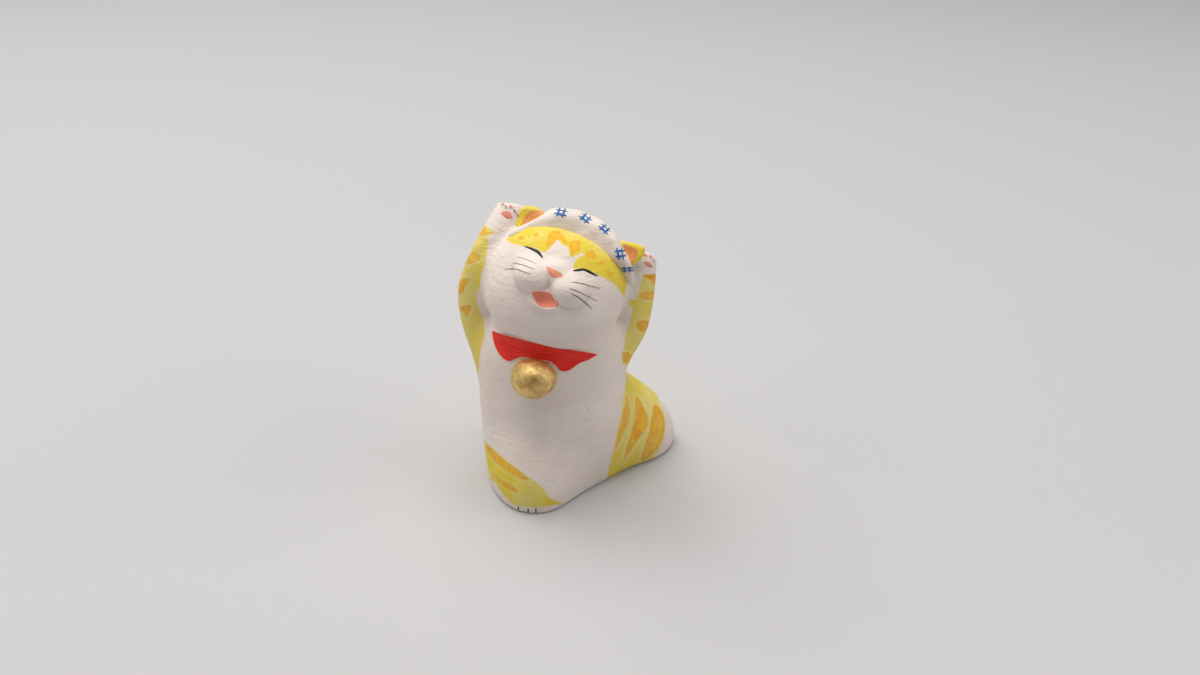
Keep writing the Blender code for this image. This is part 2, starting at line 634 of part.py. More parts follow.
def collar_outline():
    """A bib seen from the front: a straight top edge and a lower edge with two lobes."""
    top = [(COLLAR_WIDTH / 2, COLLAR_DROP), (-COLLAR_WIDTH / 2, COLLAR_DROP)]
    lower = []
    for i in range(COLLAR_POINTS + 1):
        s = 2 * i / COLLAR_POINTS - 1
        drop = COLLAR_DROP * (1 - s**2) ** 0.5 * (1 - 0.35 * exp(-((s / 0.3) ** 2)))
        lower.append((s * COLLAR_WIDTH / 2, -drop))
    return [*lower, *top]


def build_collar_and_bell(parts, cutters, paint, body_seat, head_seat):
    bell_z = BELL_LEVEL * BODY_HEIGHT
    bell_at = Vector((BELL_SHIFT, front_of_body(BELL_SHIFT, bell_z) - BELL_PROUD + BELL_DIAMETER / 2, bell_z))
    bell = add_object("bell", ball_mesh("bell", [BELL_DIAMETER / 2] * 3, sides=28), parts, paint["gold"])
    place(bell, bell_at)
    cut(bell, body_seat)
    bell_seat = add_object("bell_seat", ball_mesh("bell_seat", [BELL_DIAMETER / 2 + CLEARANCE] * 3, sides=28), cutters)
    place(bell_seat, bell_at)
    stencil = add_object("collar_stencil", prism_mesh("collar_stencil", collar_outline(), REACH, cutters), cutters)
    place(stencil, (CHEST_CENTRE.x - COLLAR_SHIFT, CHEST_CENTRE.y, COLLAR_LEVEL * BODY_HEIGHT), (0, COLLAR_TILT, 0))
    collar = add_object("collar", body_mesh("collar", CLEARANCE + COLLAR_THICKNESS), parts, paint["red"])
    boolean(collar, stencil, "INTERSECT")
    cut(collar, body_seat, head_seat, bell_seat)


def main():
    for obj in list(bpy.data.objects):
        bpy.data.objects.remove(obj)
    parts, cutters = new_collection("lucky_cat"), new_collection("cutters")
    paint = {
        "white": finish("white slip", (0.80, 0.74, 0.71), 0.8),
        "yellow": finish("yellow paint", (0.86, 0.68, 0.12), 0.75),
        "red": finish("red paint", (0.62, 0.03, 0.02), 0.5),
        "gold": finish("gold paint", (0.66, 0.44, 0.12), 0.4, 0.9),
    }
    pivot = bpy.data.objects.new("head_pivot", None)
    parts.objects.link(pivot)
    tilt = Matrix.Rotation(-HEAD_TILT_BACK, 4, "X") @ Matrix.Rotation(HEAD_ROLL, 4, "Y")
    pivot.matrix_world = Matrix.Translation(HEAD_CENTRE) @ tilt @ Matrix.Rotation(-HEAD_TURN, 4, "Z")
    head_seat = head_ball("head_seat", CLEARANCE, cutters, pivot)
    body_seat = add_object("body_seat", body_mesh("body_seat", CLEARANCE, -WALL, BODY_HEIGHT), cutters)
    under = add_object("under_table", box_mesh("under_table", (-REACH, -REACH, -REACH), (REACH, REACH, 0)), cutters)
    build_body(parts, cutters, paint, head_seat)
    build_head(parts, cutters, paint, pivot, head_seat)
    slots = build_ears(parts, cutters, paint, pivot, head_seat)
    cloth_space = build_cloth(parts, cutters, paint, pivot, head_seat, body_seat, slots)
    build_arms(parts, cutters, paint, body_seat, head_seat, cloth_space, slots)
    build_legs(parts, cutters, paint, body_seat, under)
    build_tail(parts, paint, body_seat)
    build_collar_and_bell(parts, cutters, paint, body_seat, head_seat)


if __name__ == "__main__":
    main()
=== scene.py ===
import math

import bpy
import numpy as np
from mathutils import Matrix, Vector


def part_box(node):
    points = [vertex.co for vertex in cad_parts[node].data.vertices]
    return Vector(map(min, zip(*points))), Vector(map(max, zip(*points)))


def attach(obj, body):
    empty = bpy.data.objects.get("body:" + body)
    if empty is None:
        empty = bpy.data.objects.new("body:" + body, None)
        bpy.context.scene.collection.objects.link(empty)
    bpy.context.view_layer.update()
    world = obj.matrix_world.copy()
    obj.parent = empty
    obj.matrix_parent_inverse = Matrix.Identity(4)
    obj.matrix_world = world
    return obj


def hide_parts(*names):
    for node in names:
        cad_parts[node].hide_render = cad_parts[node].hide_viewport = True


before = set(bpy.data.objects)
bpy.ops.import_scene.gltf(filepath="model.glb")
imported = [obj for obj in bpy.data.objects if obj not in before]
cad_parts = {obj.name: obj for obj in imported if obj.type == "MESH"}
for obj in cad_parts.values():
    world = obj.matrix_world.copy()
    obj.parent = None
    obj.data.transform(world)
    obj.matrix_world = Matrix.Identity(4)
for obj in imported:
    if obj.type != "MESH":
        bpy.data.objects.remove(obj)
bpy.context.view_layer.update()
mm = 0.001
print("frame loaded")

# forms are worked out in millimetres and turned into metres when a mesh is made


# camera, floor and light

photoCamera = {
    "place": (11.7, -202.2, 155.4),
    "pitchDown": 30.0,
    "lens": 30.0,
    "sensor": 36.0,
    "clipStart": 0.005,
    "size": (1200, 675),
}
studio = {
    "floor": (0.515, 0.515, 0.525),
    "floorHalf": 3.0,
    "floorRough": 0.9,
    "floorSheen": 0.1,
    "world": (1.0, 0.985, 0.97),
    "worldStrength": 0.13,
    "lights": (  # name, place, size, power and colour, all aimed at the figure
        ("overhead", (-0.04, 0.12, 1.17), 0.9, 9.0, (1.0, 0.975, 0.945)),
        ("highFront", (-0.10, -0.44, 1.17), 0.8, 3.2, (1.0, 0.975, 0.945)),
        ("backLeft", (-0.56, 0.50, 0.97), 0.8, 5.2, (1.0, 0.975, 0.945)),
        ("left", (-1.20, -0.20, 0.67), 1.0, 3.8, (1.0, 0.985, 0.965)),
        ("right", (1.20, -0.20, 0.67), 1.0, 5.4, (1.0, 0.985, 0.965)),
    ),
    "aim": (0.0, 0.0, 0.03),
}


def makeCamera(c):
    camera = bpy.data.objects.new("photoCamera", bpy.data.cameras.new("photoCamera"))
    camera.data.lens = c["lens"]
    camera.data.sensor_width = c["sensor"]
    camera.data.clip_start = c["clipStart"]
    turn = Matrix.Rotation(math.radians(90 - c["pitchDown"]), 4, "X")
    camera.matrix_world = Matrix.Translation(Vector(c["place"]) * mm) @ turn
    bpy.context.scene.collection.objects.link(camera)
    bpy.context.scene.camera = camera


cameraAt = np.array(photoCamera["place"])
pitch = math.radians(photoCamera["pitchDown"])
photoWide, photoHigh = photoCamera["size"]
focal = photoCamera["lens"] / photoCamera["sensor"] * photoWide


def toPixel(points):  # where points fall in the photograph's frame
    q = points - cameraAt
    ahead = q[:, 1] * math.cos(pitch) - q[:, 2] * math.sin(pitch)
    up = q[:, 1] * math.sin(pitch) + q[:, 2] * math.cos(pitch)
    return np.stack((photoWide / 2 + focal * q[:, 0] / ahead, photoHigh / 2 - focal * up / ahead), 1)


def sightLine(u, v):  # direction of the line of sight through a pixel
    right, up = (u - photoWide / 2) / focal, (photoHigh / 2 - v) / focal
    ahead = Vector((0, math.cos(pitch), -math.sin(pitch)))
    above = Vector((0, math.sin(pitch), math.cos(pitch)))
    return (ahead + above * up + Vector((right, 0, 0))).normalized()


def makeStudio(s):
    bpy.ops.mesh.primitive_plane_add(size=2 * s["floorHalf"])
    floor = bpy.context.object
    floor.name = "studioFloor"
    paper = bpy.data.materials.new("studioPaper")
    paper.use_nodes = True
    shader = paper.node_tree.nodes["Principled BSDF"]
    shader.inputs["Base Color"].default_value = (*s["floor"], 1)
    shader.inputs["Roughness"].default_value = s["floorRough"]
    shader.inputs["Specular IOR Level"].default_value = s["floorSheen"]
    floor.data.materials.append(paper)
    world = bpy.data.worlds.new("studioWorld")
    world.use_nodes = True
    sky = world.node_tree.nodes["Background"]
    sky.inputs["Color"].default_value = (*s["world"], 1)
    sky.inputs["Strength"].default_value = s["worldStrength"]
    bpy.context.scene.world = world
    for name, place, size, power, colour in s["lights"]:
        lamp = bpy.data.objects.new(name, bpy.data.lights.new(name, "AREA"))
        lamp.data.size = size
        lamp.data.energy = power
        lamp.data.color = colour
        aim = Vector(s["aim"]) - Vector(place)
        lamp.matrix_world = Matrix.Translation(place) @ aim.to_track_quat("-Z", "Y").to_matrix().to_4x4()
        bpy.context.scene.collection.objects.link(lamp)
    bpy.context.scene.view_settings.view_transform = "Standard"


makeCamera(photoCamera)
makeStudio(studio)
print("camera and studio made")


# clay forms as distance fields: below zero is inside

def turned(*steps):  # axis and degrees, one turn after another
    total = Matrix.Identity(3)
    for axis, degrees in steps:
        total = total @ Matrix.Rotation(math.radians(degrees), 3, axis)
    return np.array(total)


def weld(a, b, soft):  # union with a fillet of slip
    h = np.clip(0.5 + 0.5 * (b - a) / soft, 0, 1)
    return b * (1 - h) + a * h - soft * h * (1 - h)


def trim(a, b, soft):  # keeps what is inside both, with a soft edge
    return -weld(-a, -b, soft)


def ballField(p, centre, radii, turn=None, fullness=2.0):
    q = p - np.array(centre)
    if turn is not None:
        q = q @ turn
    s = np.abs(q) / np.array(radii) + 1e-9
    size = (s**fullness).sum(1) ** (1 / fullness)
    slope = s ** (fullness - 1) / np.array(radii)
    slope = np.sqrt((slope**2).sum(1)) * size ** (1 - fullness)
    return (size - 1) / slope


def curveFrom(rows, steps):  # a smooth curve through all rows but the first and the last two
    found = []
    for a, b, c, d in zip(rows, rows[1:], rows[2:], rows[3:]):
        bend = 2 * a - 5 * b + 4 * c - d
        twist = 3 * b - a - 3 * c + d
        for t in np.arange(steps) / steps:
            found.append(0.5 * (2 * b + (c - a) * t + bend * t**2 + twist * t**3))
    return found


def smoothRows(stations, steps):
    rows = np.array(stations, float)
    padded = np.vstack((2 * rows[0] - rows[1], rows, 2 * rows[-1] - rows[-2]))
    return np.array([*curveFrom(padded, steps), rows[-1]])


def limbField(p, stations, steps=4, margin=6.0, farOff=1e3):  # rows of x, y, z and radius
    rows = smoothRows(stations, steps)
    best = np.full(len(p), farOff)
    reach = rows[:, 3].max() + margin
    near = ((p > rows[:, :3].min(0) - reach) & (p < rows[:, :3].max(0) + reach)).all(1)
    q = p[near]
    low = np.full(len(q), np.inf)
    for a, b in zip(rows, rows[1:]):
        along = b[:3] - a[:3]
        t = np.clip((q - a[:3]) @ along / (along @ along), 0, 1)
        gap = np.linalg.norm(q - a[:3] - t[:, None] * along, axis=1)
        low = np.minimum(low, gap - a[3] - (b[3] - a[3]) * t)
    best[near] = low
    return best


handWaves = (  # direction and phase of each wave
    (1, 0.3, 0.2, 0.0),
    (-0.4, 1, 0.5, 1.7),
    (0.3, -0.6, 1, 3.1),
    (0.9, 0.8, -0.7, 4.4),
    (-1.3, 0.4, 1.1, 0.9),
)


def unevenness(p, amount, size):  # slow waves, as a hand leaves them
    total = sum(np.sin((p @ np.array(w[:3])) * 2 * math.pi / size + w[3]) for w in handWaves)
    return amount * total / len(handWaves)


# body and limbs

body = {
    "sections": (  # height, middle x and y, half width, half depth, turn
        (0.0, 2.0, 2.6, 17.6, 12.4, 34.0),
        (4.0, 2.0, 2.6, 18.5, 13.5, 34.0),
        (17.0, 0.9, 1.9, 18.3, 15.0, 11.3),
        (29.0, 0.1, 1.2, 17.1, 14.5, 0.0),
        (38.0, 0.4, 0.0, 15.95, 14.2, 0.0),
        (47.0, 0.9, -1.2, 13.0, 12.6, 0.0),
    ),
    "steps": 6,
    "top": 47.0,
    "footEdge": 0.8,
    "unevenness": (0.12, 13.0),  # height and length of the waves
    "box": ((-25, -22, -1.5), (36, 24, 73)),  # the space in which the skin lies
}
haunch = {
    "centre": (13.5, 8.6, 10.7),
    "radii": (21.5, 11.6, 12.1),
    "turn": turned(("Z", 23), ("Y", 38.6)),
    "fillet": 6.0,
}
thigh = {"centre": (-3.8, -3.4, 5.0), "radii": (11.0, 14.4, 17.0), "fillet": 4.5}
tailLow, tailHigh = (np.array(corner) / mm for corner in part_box("tail"))
tailBob = {"radii": (4.3, 4.3, 4.3), "fillet": 2.0}
tailMiddle = (tailLow + tailHigh) / 2
tailBob["centre"] = (tailMiddle[0], tailHigh[1] - tailBob["radii"][1], tailMiddle[2])
armRight = {
    "rows": (
        (-13.1, 3.0, 29.0, 4.1),
        (-16.2, 3.5, 38.8, 4.1),
        (-17.1, 4.0, 48.7, 4.1),
        (-12.9, 1.6, 60.4, 3.8),
        (-8.1, 6.0, 67.2, 3.95),
    ),
    "fillet": 3.5,
    "flatAt": (-7.8, 7.0, 68.9),
    "flatOut": (0.17, 0.49, 0.855),
    "flatEdge": 0.7,
}
armLeft = {
    "rows": (
        (12.3, 3.0, 29.0, 4.1),
        (16.6, 3.5, 35.2, 4.1),
        (19.3, 4.0, 41.3, 4.1),
        (20.6, 5.0, 49.4, 3.8),
        (20.7, 6.0, 55.9, 4.0),
    ),
    "fillet": 3.5,
    "flatAt": (21.5, 7.0, 57.7),
    "flatOut": (0.5, 0.43, 0.745),
    "flatEdge": 0.7,
}


def torsoField(p):
    rows = smoothRows(body["sections"], body["steps"])
    x, y, wide, deep, turn = (np.interp(p[:, 2], rows[:, 0], rows[:, i]) for i in range(1, 6))
    angle = np.radians(turn)
    dx, dy = p[:, 0] - x, p[:, 1] - y
    across = dx * np.cos(angle) + dy * np.sin(angle)
    along = dy * np.cos(angle) - dx * np.sin(angle)
    size = np.hypot(across / wide, along / deep)
    slope = np.hypot(across / wide**2, along / deep**2) / np.maximum(size, 1e-6)
    return np.maximum((size - 1) / np.maximum(slope, 1e-6), p[:, 2] - body["top"])


def armField(p, arm):  # a tapering limb with the paw's flat face cut across its end
    out = np.array(arm["flatOut"])
    flat = (p - np.array(arm["flatAt"])) @ (out / np.linalg.norm(out))
    return trim(limbField(p, arm["rows"]), flat, arm["flatEdge"])


# head

head = {
    "centre": np.array((1.6, -2.0, 52.7)),
    "turn": turned(("X", -27), ("Y", 20), ("Z", -6)),
    "radii": (15.5, 14.5, 14.4),
    "fullness": 2.25,
    "fillet": 2.0,
    "armFillet": 5.0,  # where an arm lies against the head, less towards the paw
    "armFilletTop": 67.0,
    "armFilletOver": 8.0,
    "armFilletLeast": 0.25,
}
muzzle = {
    "middle": 0.7,
    "padRadii": (4.15, 4.4, 3.5),
    "spread": 8.2,
    "rise": 0.7,
    "proud": 3.1,
    "fillet": (0.2, 3.0),  # crisp below, run into the cheek above
    "filletFrom": -0.8,
    "filletOver": 3.5,
    "noseRadius": 2.2,
    "noseRise": 3.3,
    "noseProud": 1.3,
    "noseFillet": 1.6,
    "lipRadii": (3.9, 2.6, 2.5),
    "lipProud": 1.1,
    "lipDrop": 3.2,
    "lipFillet": 1.2,
    "mouthRadii": (3.0, 2.6, 1.75),
    "mouthShift": 0.2,
    "mouthDrop": 2.9,
    "mouthDepth": 1.0,
    "mouthEdge": 0.3,
}


def inHead(p):
    return (p - head["centre"]) @ head["turn"]


def onFace(x, z, out, deep):  # centre of a form this deep that stands out of the face
    wide, thick, high = head["radii"]
    power = head["fullness"]
    left = 1 - abs(x / wide) ** power - abs(z / high) ** power
    return (x, -thick * left ** (1 / power) - out + deep, z)


def headField(p):
    m = muzzle
    q = inHead(p)
    d = ballField(q, (0, 0, 0), head["radii"], fullness=head["fullness"])
    lip = onFace(m["middle"], -m["lipDrop"], m["lipProud"], m["lipRadii"][1])
    d = weld(d, ballField(q, lip, m["lipRadii"]), m["lipFillet"])
    for side in (-1, 1):
        pad = onFace(m["middle"] + side * m["spread"] / 2, m["rise"], m["proud"], m["padRadii"][1])
        above = np.clip((q[:, 2] - m["rise"] - m["filletFrom"]) / m["filletOver"], 0, 1)
        soft = m["fillet"][0] + (m["fillet"][1] - m["fillet"][0]) * above
        d = weld(d, ballField(q, pad, m["padRadii"]), soft)
    nose = onFace(m["middle"], m["noseRise"], m["noseProud"], m["noseRadius"])
    d = weld(d, ballField(q, nose, (m["noseRadius"],) * 3), m["noseFillet"])
    mouth = onFace(m["middle"] + m["mouthShift"], -m["mouthDrop"], -m["mouthDepth"], -m["mouthRadii"][1])
    return trim(d, -ballField(q, mouth, m["mouthRadii"]), m["mouthEdge"])


def clayForms(p):
    return {
        "torso": torsoField(p),
        "legLeft": ballField(p, haunch["centre"], haunch["radii"], haunch["turn"]),
        "legRight": ballField(p, thigh["centre"], thigh["radii"]),
        "tail": ballField(p, tailBob["centre"], tailBob["radii"]),
        "armLeft": armField(p, armLeft),
        "armRight": armField(p, armRight),
        "head": headField(p),
    }


welded = {
    "legLeft": haunch,
    "legRight": thigh,
    "tail": tailBob,
    "armLeft": armLeft,
    "armRight": armRight,
    "head": head,
}


def clayField(p):  # the whole figure under one coat of white
    f = clayForms(p)
    d = f["torso"]
    for name, form in welded.items():
        d = weld(d, f[name], form["fillet"])
    share = np.clip((head["armFilletTop"] - p[:, 2]) / head["armFilletOver"], head["armFilletLeast"], 1)
    for arm in ("armLeft", "armRight"):
        d = np.minimum(d, weld(f[arm], f["head"], head["armFillet"] * share))
    d = d + unevenness(p, *body["unevenness"])
    return trim(d, -p[:, 2], body["footEdge"])


# a closed skin where a field is zero: one point in each crossed cell, quads across crossed edges

def fieldSlope(field, p, step=0.02):
    slope = np.empty_like(p)
    for axis in range(3):
        shift = np.zeros(3)
        shift[axis] = step
        slope[:, axis] = (field(p + shift) - field(p - shift)) / (2 * step)
    return slope


def offSkin(field, p, leastSlope=0.05):  # how far and which way points lie from where the field is zero
    slope = fieldSlope(field, p)
    return (field(p) / np.maximum((slope**2).sum(1), leastSlope))[:, None] * slope


def skinOf(field, low, high, step, rounds=2):
    axes = [np.arange(a, b + step, step) for a, b in zip(low, high)]
    grid = np.stack(np.meshgrid(*axes, indexing="ij"), -1)
    shape = grid.shape[:3]
    d = field(grid.reshape(-1, 3)).reshape(shape)
    inside = d < 0
    corners = [(i, j, k) for i in (0, 1) for j in (0, 1) for k in (0, 1)]
    last = [n - 1 for n in shape]
    count = np.zeros(last, np.int8)
    for i, j, k in corners:
        count += inside[i : last[0] + i, j : last[1] + j, k : last[2] + k]
    cells = np.argwhere((count > 0) & (count < len(corners)))
    number = np.full(last, -1)
    number[tuple(cells.T)] = np.arange(len(cells))
    total, hits = np.zeros((len(cells), 3)), np.zeros(len(cells))
    for a in np.array(corners):
        for along in np.eye(3, dtype=int)[a == 0]:
            da, db = d[tuple((cells + a).T)], d[tuple((cells + a + along).T)]
            crossed = (da < 0) != (db < 0)
            t = np.where(crossed, da / np.where(crossed, da - db, 1), 0)
            total += (a + t[:, None] * along) * crossed[:, None]
            hits += crossed
    points = (cells + total / hits[:, None]) * step + np.array([axis[0] for axis in axes])
    quads = []
    for axis in range(3):
        order = (axis, (axis + 1) % 3, (axis + 2) % 3)
        corner, cell = inside.transpose(order), number.transpose(order)
        here, beyond = corner[:-1, 1:-1, 1:-1], corner[1:, 1:-1, 1:-1]
        i, j, k = np.argwhere(here != beyond).T
        ring = np.stack((cell[i, j, k], cell[i, j + 1, k], cell[i, j + 1, k + 1], cell[i, j, k + 1]), 1)
        quads.append(np.where(here[i, j, k][:, None], ring, ring[:, ::-1]))
    longest = 0.5 * step
    for _ in range(rounds):
        move = offSkin(field, points)
        length = np.linalg.norm(move, axis=1, keepdims=True)
        points = points - move * np.minimum(1, longest / np.maximum(length, 1e-9))
    slope = fieldSlope(field, points)
    normals = slope / np.maximum(np.linalg.norm(slope, axis=1, keepdims=True), 1e-9)
    return points, np.concatenate(quads), normals


def meshFrom(name, points, faces, normals, values):
    mesh = bpy.data.meshes.new(name)
    mesh.from_pydata((points * mm).tolist(), [], [list(f) for f in faces])
    for key, numbers in values.items():
        kept = mesh.attributes.new(key, "FLOAT", "POINT")
        kept.data.foreach_set("value", np.asarray(numbers, np.float32))
    mesh.shade_smooth()
    mesh.normals_split_custom_set_from_vertices(normals.tolist())
    return mesh


def addPiece(name, mesh, material, slot, *nodes):
    piece = bpy.data.objects.new(name, mesh)
    bpy.context.scene.collection.objects.link(piece)
    mesh.materials.clear()
    mesh.materials.append(material)
    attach(piece, "root")
    if nodes:
        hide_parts(*nodes)


# head cloth and ears

cloth = {
    "sides": 2.2,
    "crown": 3.6,
    "thinner": 2.2,  # where it ends on the cat's right
    "thinFrom": 4.0,
    "thinOver": 10.0,
    "unevenness": (0.38, 9.0),
    "frontUnevenness": (0.3, 7.0),
    "opening": 6.5,
    "sideRise": 8.5,
    "slope": 22.0,
    "lean": -8.0,
    "forward": (-0.08, 0.09),
    "edge": 1.5,
    "under": 1.2,
    "underEdge": 0.3,
    "tuck": ((-1, 2.5), (1, 0.8)),
    "tuckReach": 4.5,
    "box": ((-22, -16, 38), (26, 22, 76)),
}
ears = {  # the cat's right ear is -1
    "splay": {-1: 41.5, 1: 44.5},
    "lean": {-1: 15.0, 1: 7.0},
    "lift": {-1: 0.95, 1: 2.3},
    "back": {-1: -2.7, 1: 0.0},
    "outline": {
        -1: ((-3.0, -3.0), (3.4, -3.0), (2.3, 0.2), (1.0, 1.25), (-0.4, 1.25), (-2.0, 0.0)),
        1: ((-3.6, -3.0), (-0.6, 2.2), (0.4, 3.3), (1.3, 2.6), (3.4, -3.0)),
    },
    "rounding": {-1: 1.2, 1: 0.9},
    "halfThick": 1.9,
    "taper": 0.12,
    "edge": 1.1,
    "dipCentre": (0, -2.75, 0.4),
    "dipRadii": (2.4, 1.25, 2.2),
    "dipEdge": 0.6,
    "innerBack": 0.3,
    "box": {-1: ((-16, -8, 56), (4, 14, 76)), 1: ((8, -8, 48), (28, 14, 72))},
}


def behindBand(q):  # how far behind the cloth's front edge
    return q[:, 1] + cloth["opening"] + cloth["forward"][0] * q[:, 0] + cloth["forward"][1] * q[:, 2]


def clothField(p):
    c = cloth
    q = inHead(p)
    wide, deep, high = head["radii"]
    outer = (wide + c["sides"], deep + c["sides"], high + c["crown"])
    d = ballField(q, (0, 0, 0), outer, fullness=head["fullness"]) + unevenness(p, *c["unevenness"])
    d = d + c["thinner"] * np.clip((-q[:, 0] - c["thinFrom"]) / c["thinOver"], 0, 1)
    for side, depth in c["tuck"]:  # drawn in round each ear
        e = inEar(p, side)
        d = d + depth * np.exp(-(e[:, 0] ** 2 + e[:, 1] ** 2) / c["tuckReach"] ** 2)
    d = trim(d, unevenness(p, *c["frontUnevenness"]) - behindBand(q), c["edge"])
    corner = np.array((0, -c["opening"], c["sideRise"]))
    lower = (q - corner) @ turned(("X", -c["slope"]), ("Y", c["lean"]))
    d = trim(d, -lower[:, 2], c["edge"])
    inner = ballField(q, (0, 0, 0), head["radii"], fullness=head["fullness"])
    return trim(d, -(inner + c["under"]), c["underEdge"])


def inEar(p, side):  # across, front to back, and out of the head
    q = inHead(p)
    angle = math.radians(ears["splay"][side])
    across, up = math.sin(angle), math.cos(angle)
    wide, _, high = head["radii"]
    power = head["fullness"]
    out = ((across / wide) ** power + (up / high) ** power) ** (-1 / power) + ears["lift"][side]
    turn = turned(("Y", side * (ears["splay"][side] + ears["lean"][side])))
    return (q - np.array((side * across * out, ears["back"][side], up * out))) @ turn


def earField(p, side):
    e = inEar(p, side)
    plan = -outlineField(e[:, (0, 2)], ears["outline"][side], steps=1) - ears["rounding"][side]
    d = trim(plan, np.abs(e[:, 1]) - ears["halfThick"] + ears["taper"] * e[:, 2], ears["edge"])
    return trim(d, -ballField(e, ears["dipCentre"], ears["dipRadii"]), ears["dipEdge"])


# outlines of paint: distances above zero are inside

def outlineField(uv, corners, steps=3):
    rows = np.array(corners, float)
    ring = np.array(curveFrom(np.vstack((rows[-1], rows, rows[:2])), steps))
    near, inside = np.full(len(uv), np.inf), np.zeros(len(uv), bool)
    for a, b in zip(ring, np.roll(ring, -1, 0)):
        along = b - a
        t = np.clip((uv - a) @ along / max(along @ along, 1e-9), 0, 1)
        near = np.minimum(near, np.hypot(*(uv - a - t[:, None] * along).T))
        crosses = (a[1] > uv[:, 1]) != (b[1] > uv[:, 1])
        inside ^= crosses & (uv[:, 0] < a[0] + (uv[:, 1] - a[1]) * along[0] / (along[1] or 1.0))
    return np.where(inside, near, -near)


def outlines(uv, *rings):
    return np.max([outlineField(uv, ring) for ring in rings], axis=0)


# red bib

bib = {
    "outline": (
        (491.4, 330.2), (500, 332.4), (511, 335.5), (531.5, 341), (552, 346), (572.5, 349),
        (597.6, 353.6), (593, 358.6), (587, 361.6), (579.2, 364.6), (571.4, 370.4), (565.6, 372.4),
        (559.7, 371.4), (555, 366.4), (548, 362), (535, 360), (522, 358), (515.8, 359.8), (509, 362.3),
        (502, 358.8), (496, 350.8), (492.6, 341.6),
    ),
    "thick": 0.35,
    "edge": 0.3,
    "rim": 0.22,
    "front": -3.0,
    "frontEdge": 0.3,
    "upChin": 1.2,
    "chinEdge": 0.15,
    "under": 0.9,
    "underEdge": 0.2,
    "box": ((-17, -22, 30), (15, 2, 48)),
}
pxSize = 0.23  # millimetres that a pixel covers on the figure


def bibField(p):  # follows the chest and stops under the chin
    clay = clayField(p)
    d = trim(clay - bib["thick"], -outlineField(toPixel(p), bib["outline"]) * pxSize, bib["edge"])
    d = trim(d, p[:, 1] - bib["front"], bib["frontEdge"])
    d = trim(d, torsoField(p) - headField(p) - bib["upChin"], bib["chinEdge"])
    return trim(d, -(clay + bib["under"]), bib["underEdge"])


# gold bell

bell = {"radii": (5.15, 4.85, 4.6), "dents": (0.12, 5.0), "ringSize": 4.9, "margin": 6.5}
bellLow, bellHigh = (np.array(corner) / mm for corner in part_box("bell"))
bellMiddle = (bellLow + bellHigh) / 2
bell["centre"] = np.array((bellMiddle[0], bellLow[1] + bell["radii"][1], bellMiddle[2]))


def bellField(p):
    return ballField(p, bell["centre"], bell["radii"]) + unevenness(p, *bell["dents"])


def bellRings(p):  # how far round the ball from the point that faces the camera, and on which side: the brush circled that point, and a dark reflection of the camera is painted there
    out = p - bell["centre"]
    out /= np.linalg.norm(out, axis=1, keepdims=True)
    axis = cameraAt - bell["centre"]
    axis /= np.linalg.norm(axis)
    side = np.cross((0, 0, 1), axis)
    side /= np.linalg.norm(side)
    across, above = out @ side, out @ np.cross(axis, side)
    away = np.maximum(np.hypot(across, above), 1e-6)
    ring = np.arccos(np.clip(out @ axis, -1, 1)) * bell["ringSize"]
    return {"ringAndReflectionField": ring, "ringCos": across / away, "ringSin": above / away}


# painted areas in the photograph's frame, and (x, z) in millimetres behind

yellowPaint = {
    "forehead": (
        (508.3, 241.3), (518.6, 244.7), (524.6, 246.4), (534, 247.5), (541, 251.5), (546, 251.6),
        (551.1, 246.4), (553.5, 243.5), (558.3, 239.2), (561.4, 243.9), (566.6, 246.4), (569.1, 249.9),
        (570.4, 256.8), (573.4, 257), (578, 254.8), (583.4, 253), (584.4, 254.8), (579.6, 256.8),
        (576.2, 260.4), (573.3, 268.5), (582, 268.7), (588, 270), (597.4, 274.5), (604.3, 278),
        (614.6, 284.1), (623.1, 296.1), (626.6, 304.7), (631.7, 309), (645, 300), (640, 240),
        (600, 200), (550, 195), (502, 220),
    ),
    "rightArm": (
        (495, 232.5), (488.6, 235.3), (487.7, 246.4), (485.1, 263.6), (481.7, 280.7), (477, 296.1),
        (477.4, 304.7), (481.7, 315), (485.1, 332.1), (482.6, 349.3), (480, 362), (477, 374),
        (455, 382), (435, 340), (435, 260), (470, 224), (485, 225.5),
    ),
    "leftArm": (
        (643.5, 275.5), (638.6, 291), (635.4, 300.5), (631.4, 299), (628, 300.4), (628.8, 305),
        (632, 306.6), (632, 311.6), (629.2, 323.6), (624.9, 337.3), (624, 349.3), (618.5, 355),
        (620, 362), (632, 366), (680, 360), (690, 300), (680, 276), (655, 275),
    ),
    "haunch": (
        (626, 362), (624.5, 380), (622.1, 407), (618.2, 426.4), (613.4, 449.8), (607, 478), (606, 486),
        (640, 475), (654, 458), (658.2, 451.8), (663.5, 440), (665.6, 426.4), (664, 412.8),
        (660.2, 403), (658.2, 396), (660, 385), (640, 360),
    ),
    "foot": (
        (478, 433), (484.6, 440), (495.4, 450.8), (511.9, 464.5), (534.4, 481), (544.1, 488.8),
        (548, 496.6), (559.7, 502.5), (567, 503), (553.9, 505), (538.3, 507.6), (518.5, 506),
        (508.5, 500), (500, 490.5), (493, 481), (480, 476), (470, 445),
    ),
    "saddle": ((-8, 30), (2, 34), (12, 30), (19, 22), (22, 8), (8, 5), (-4, 8), (-10, 18)),
}
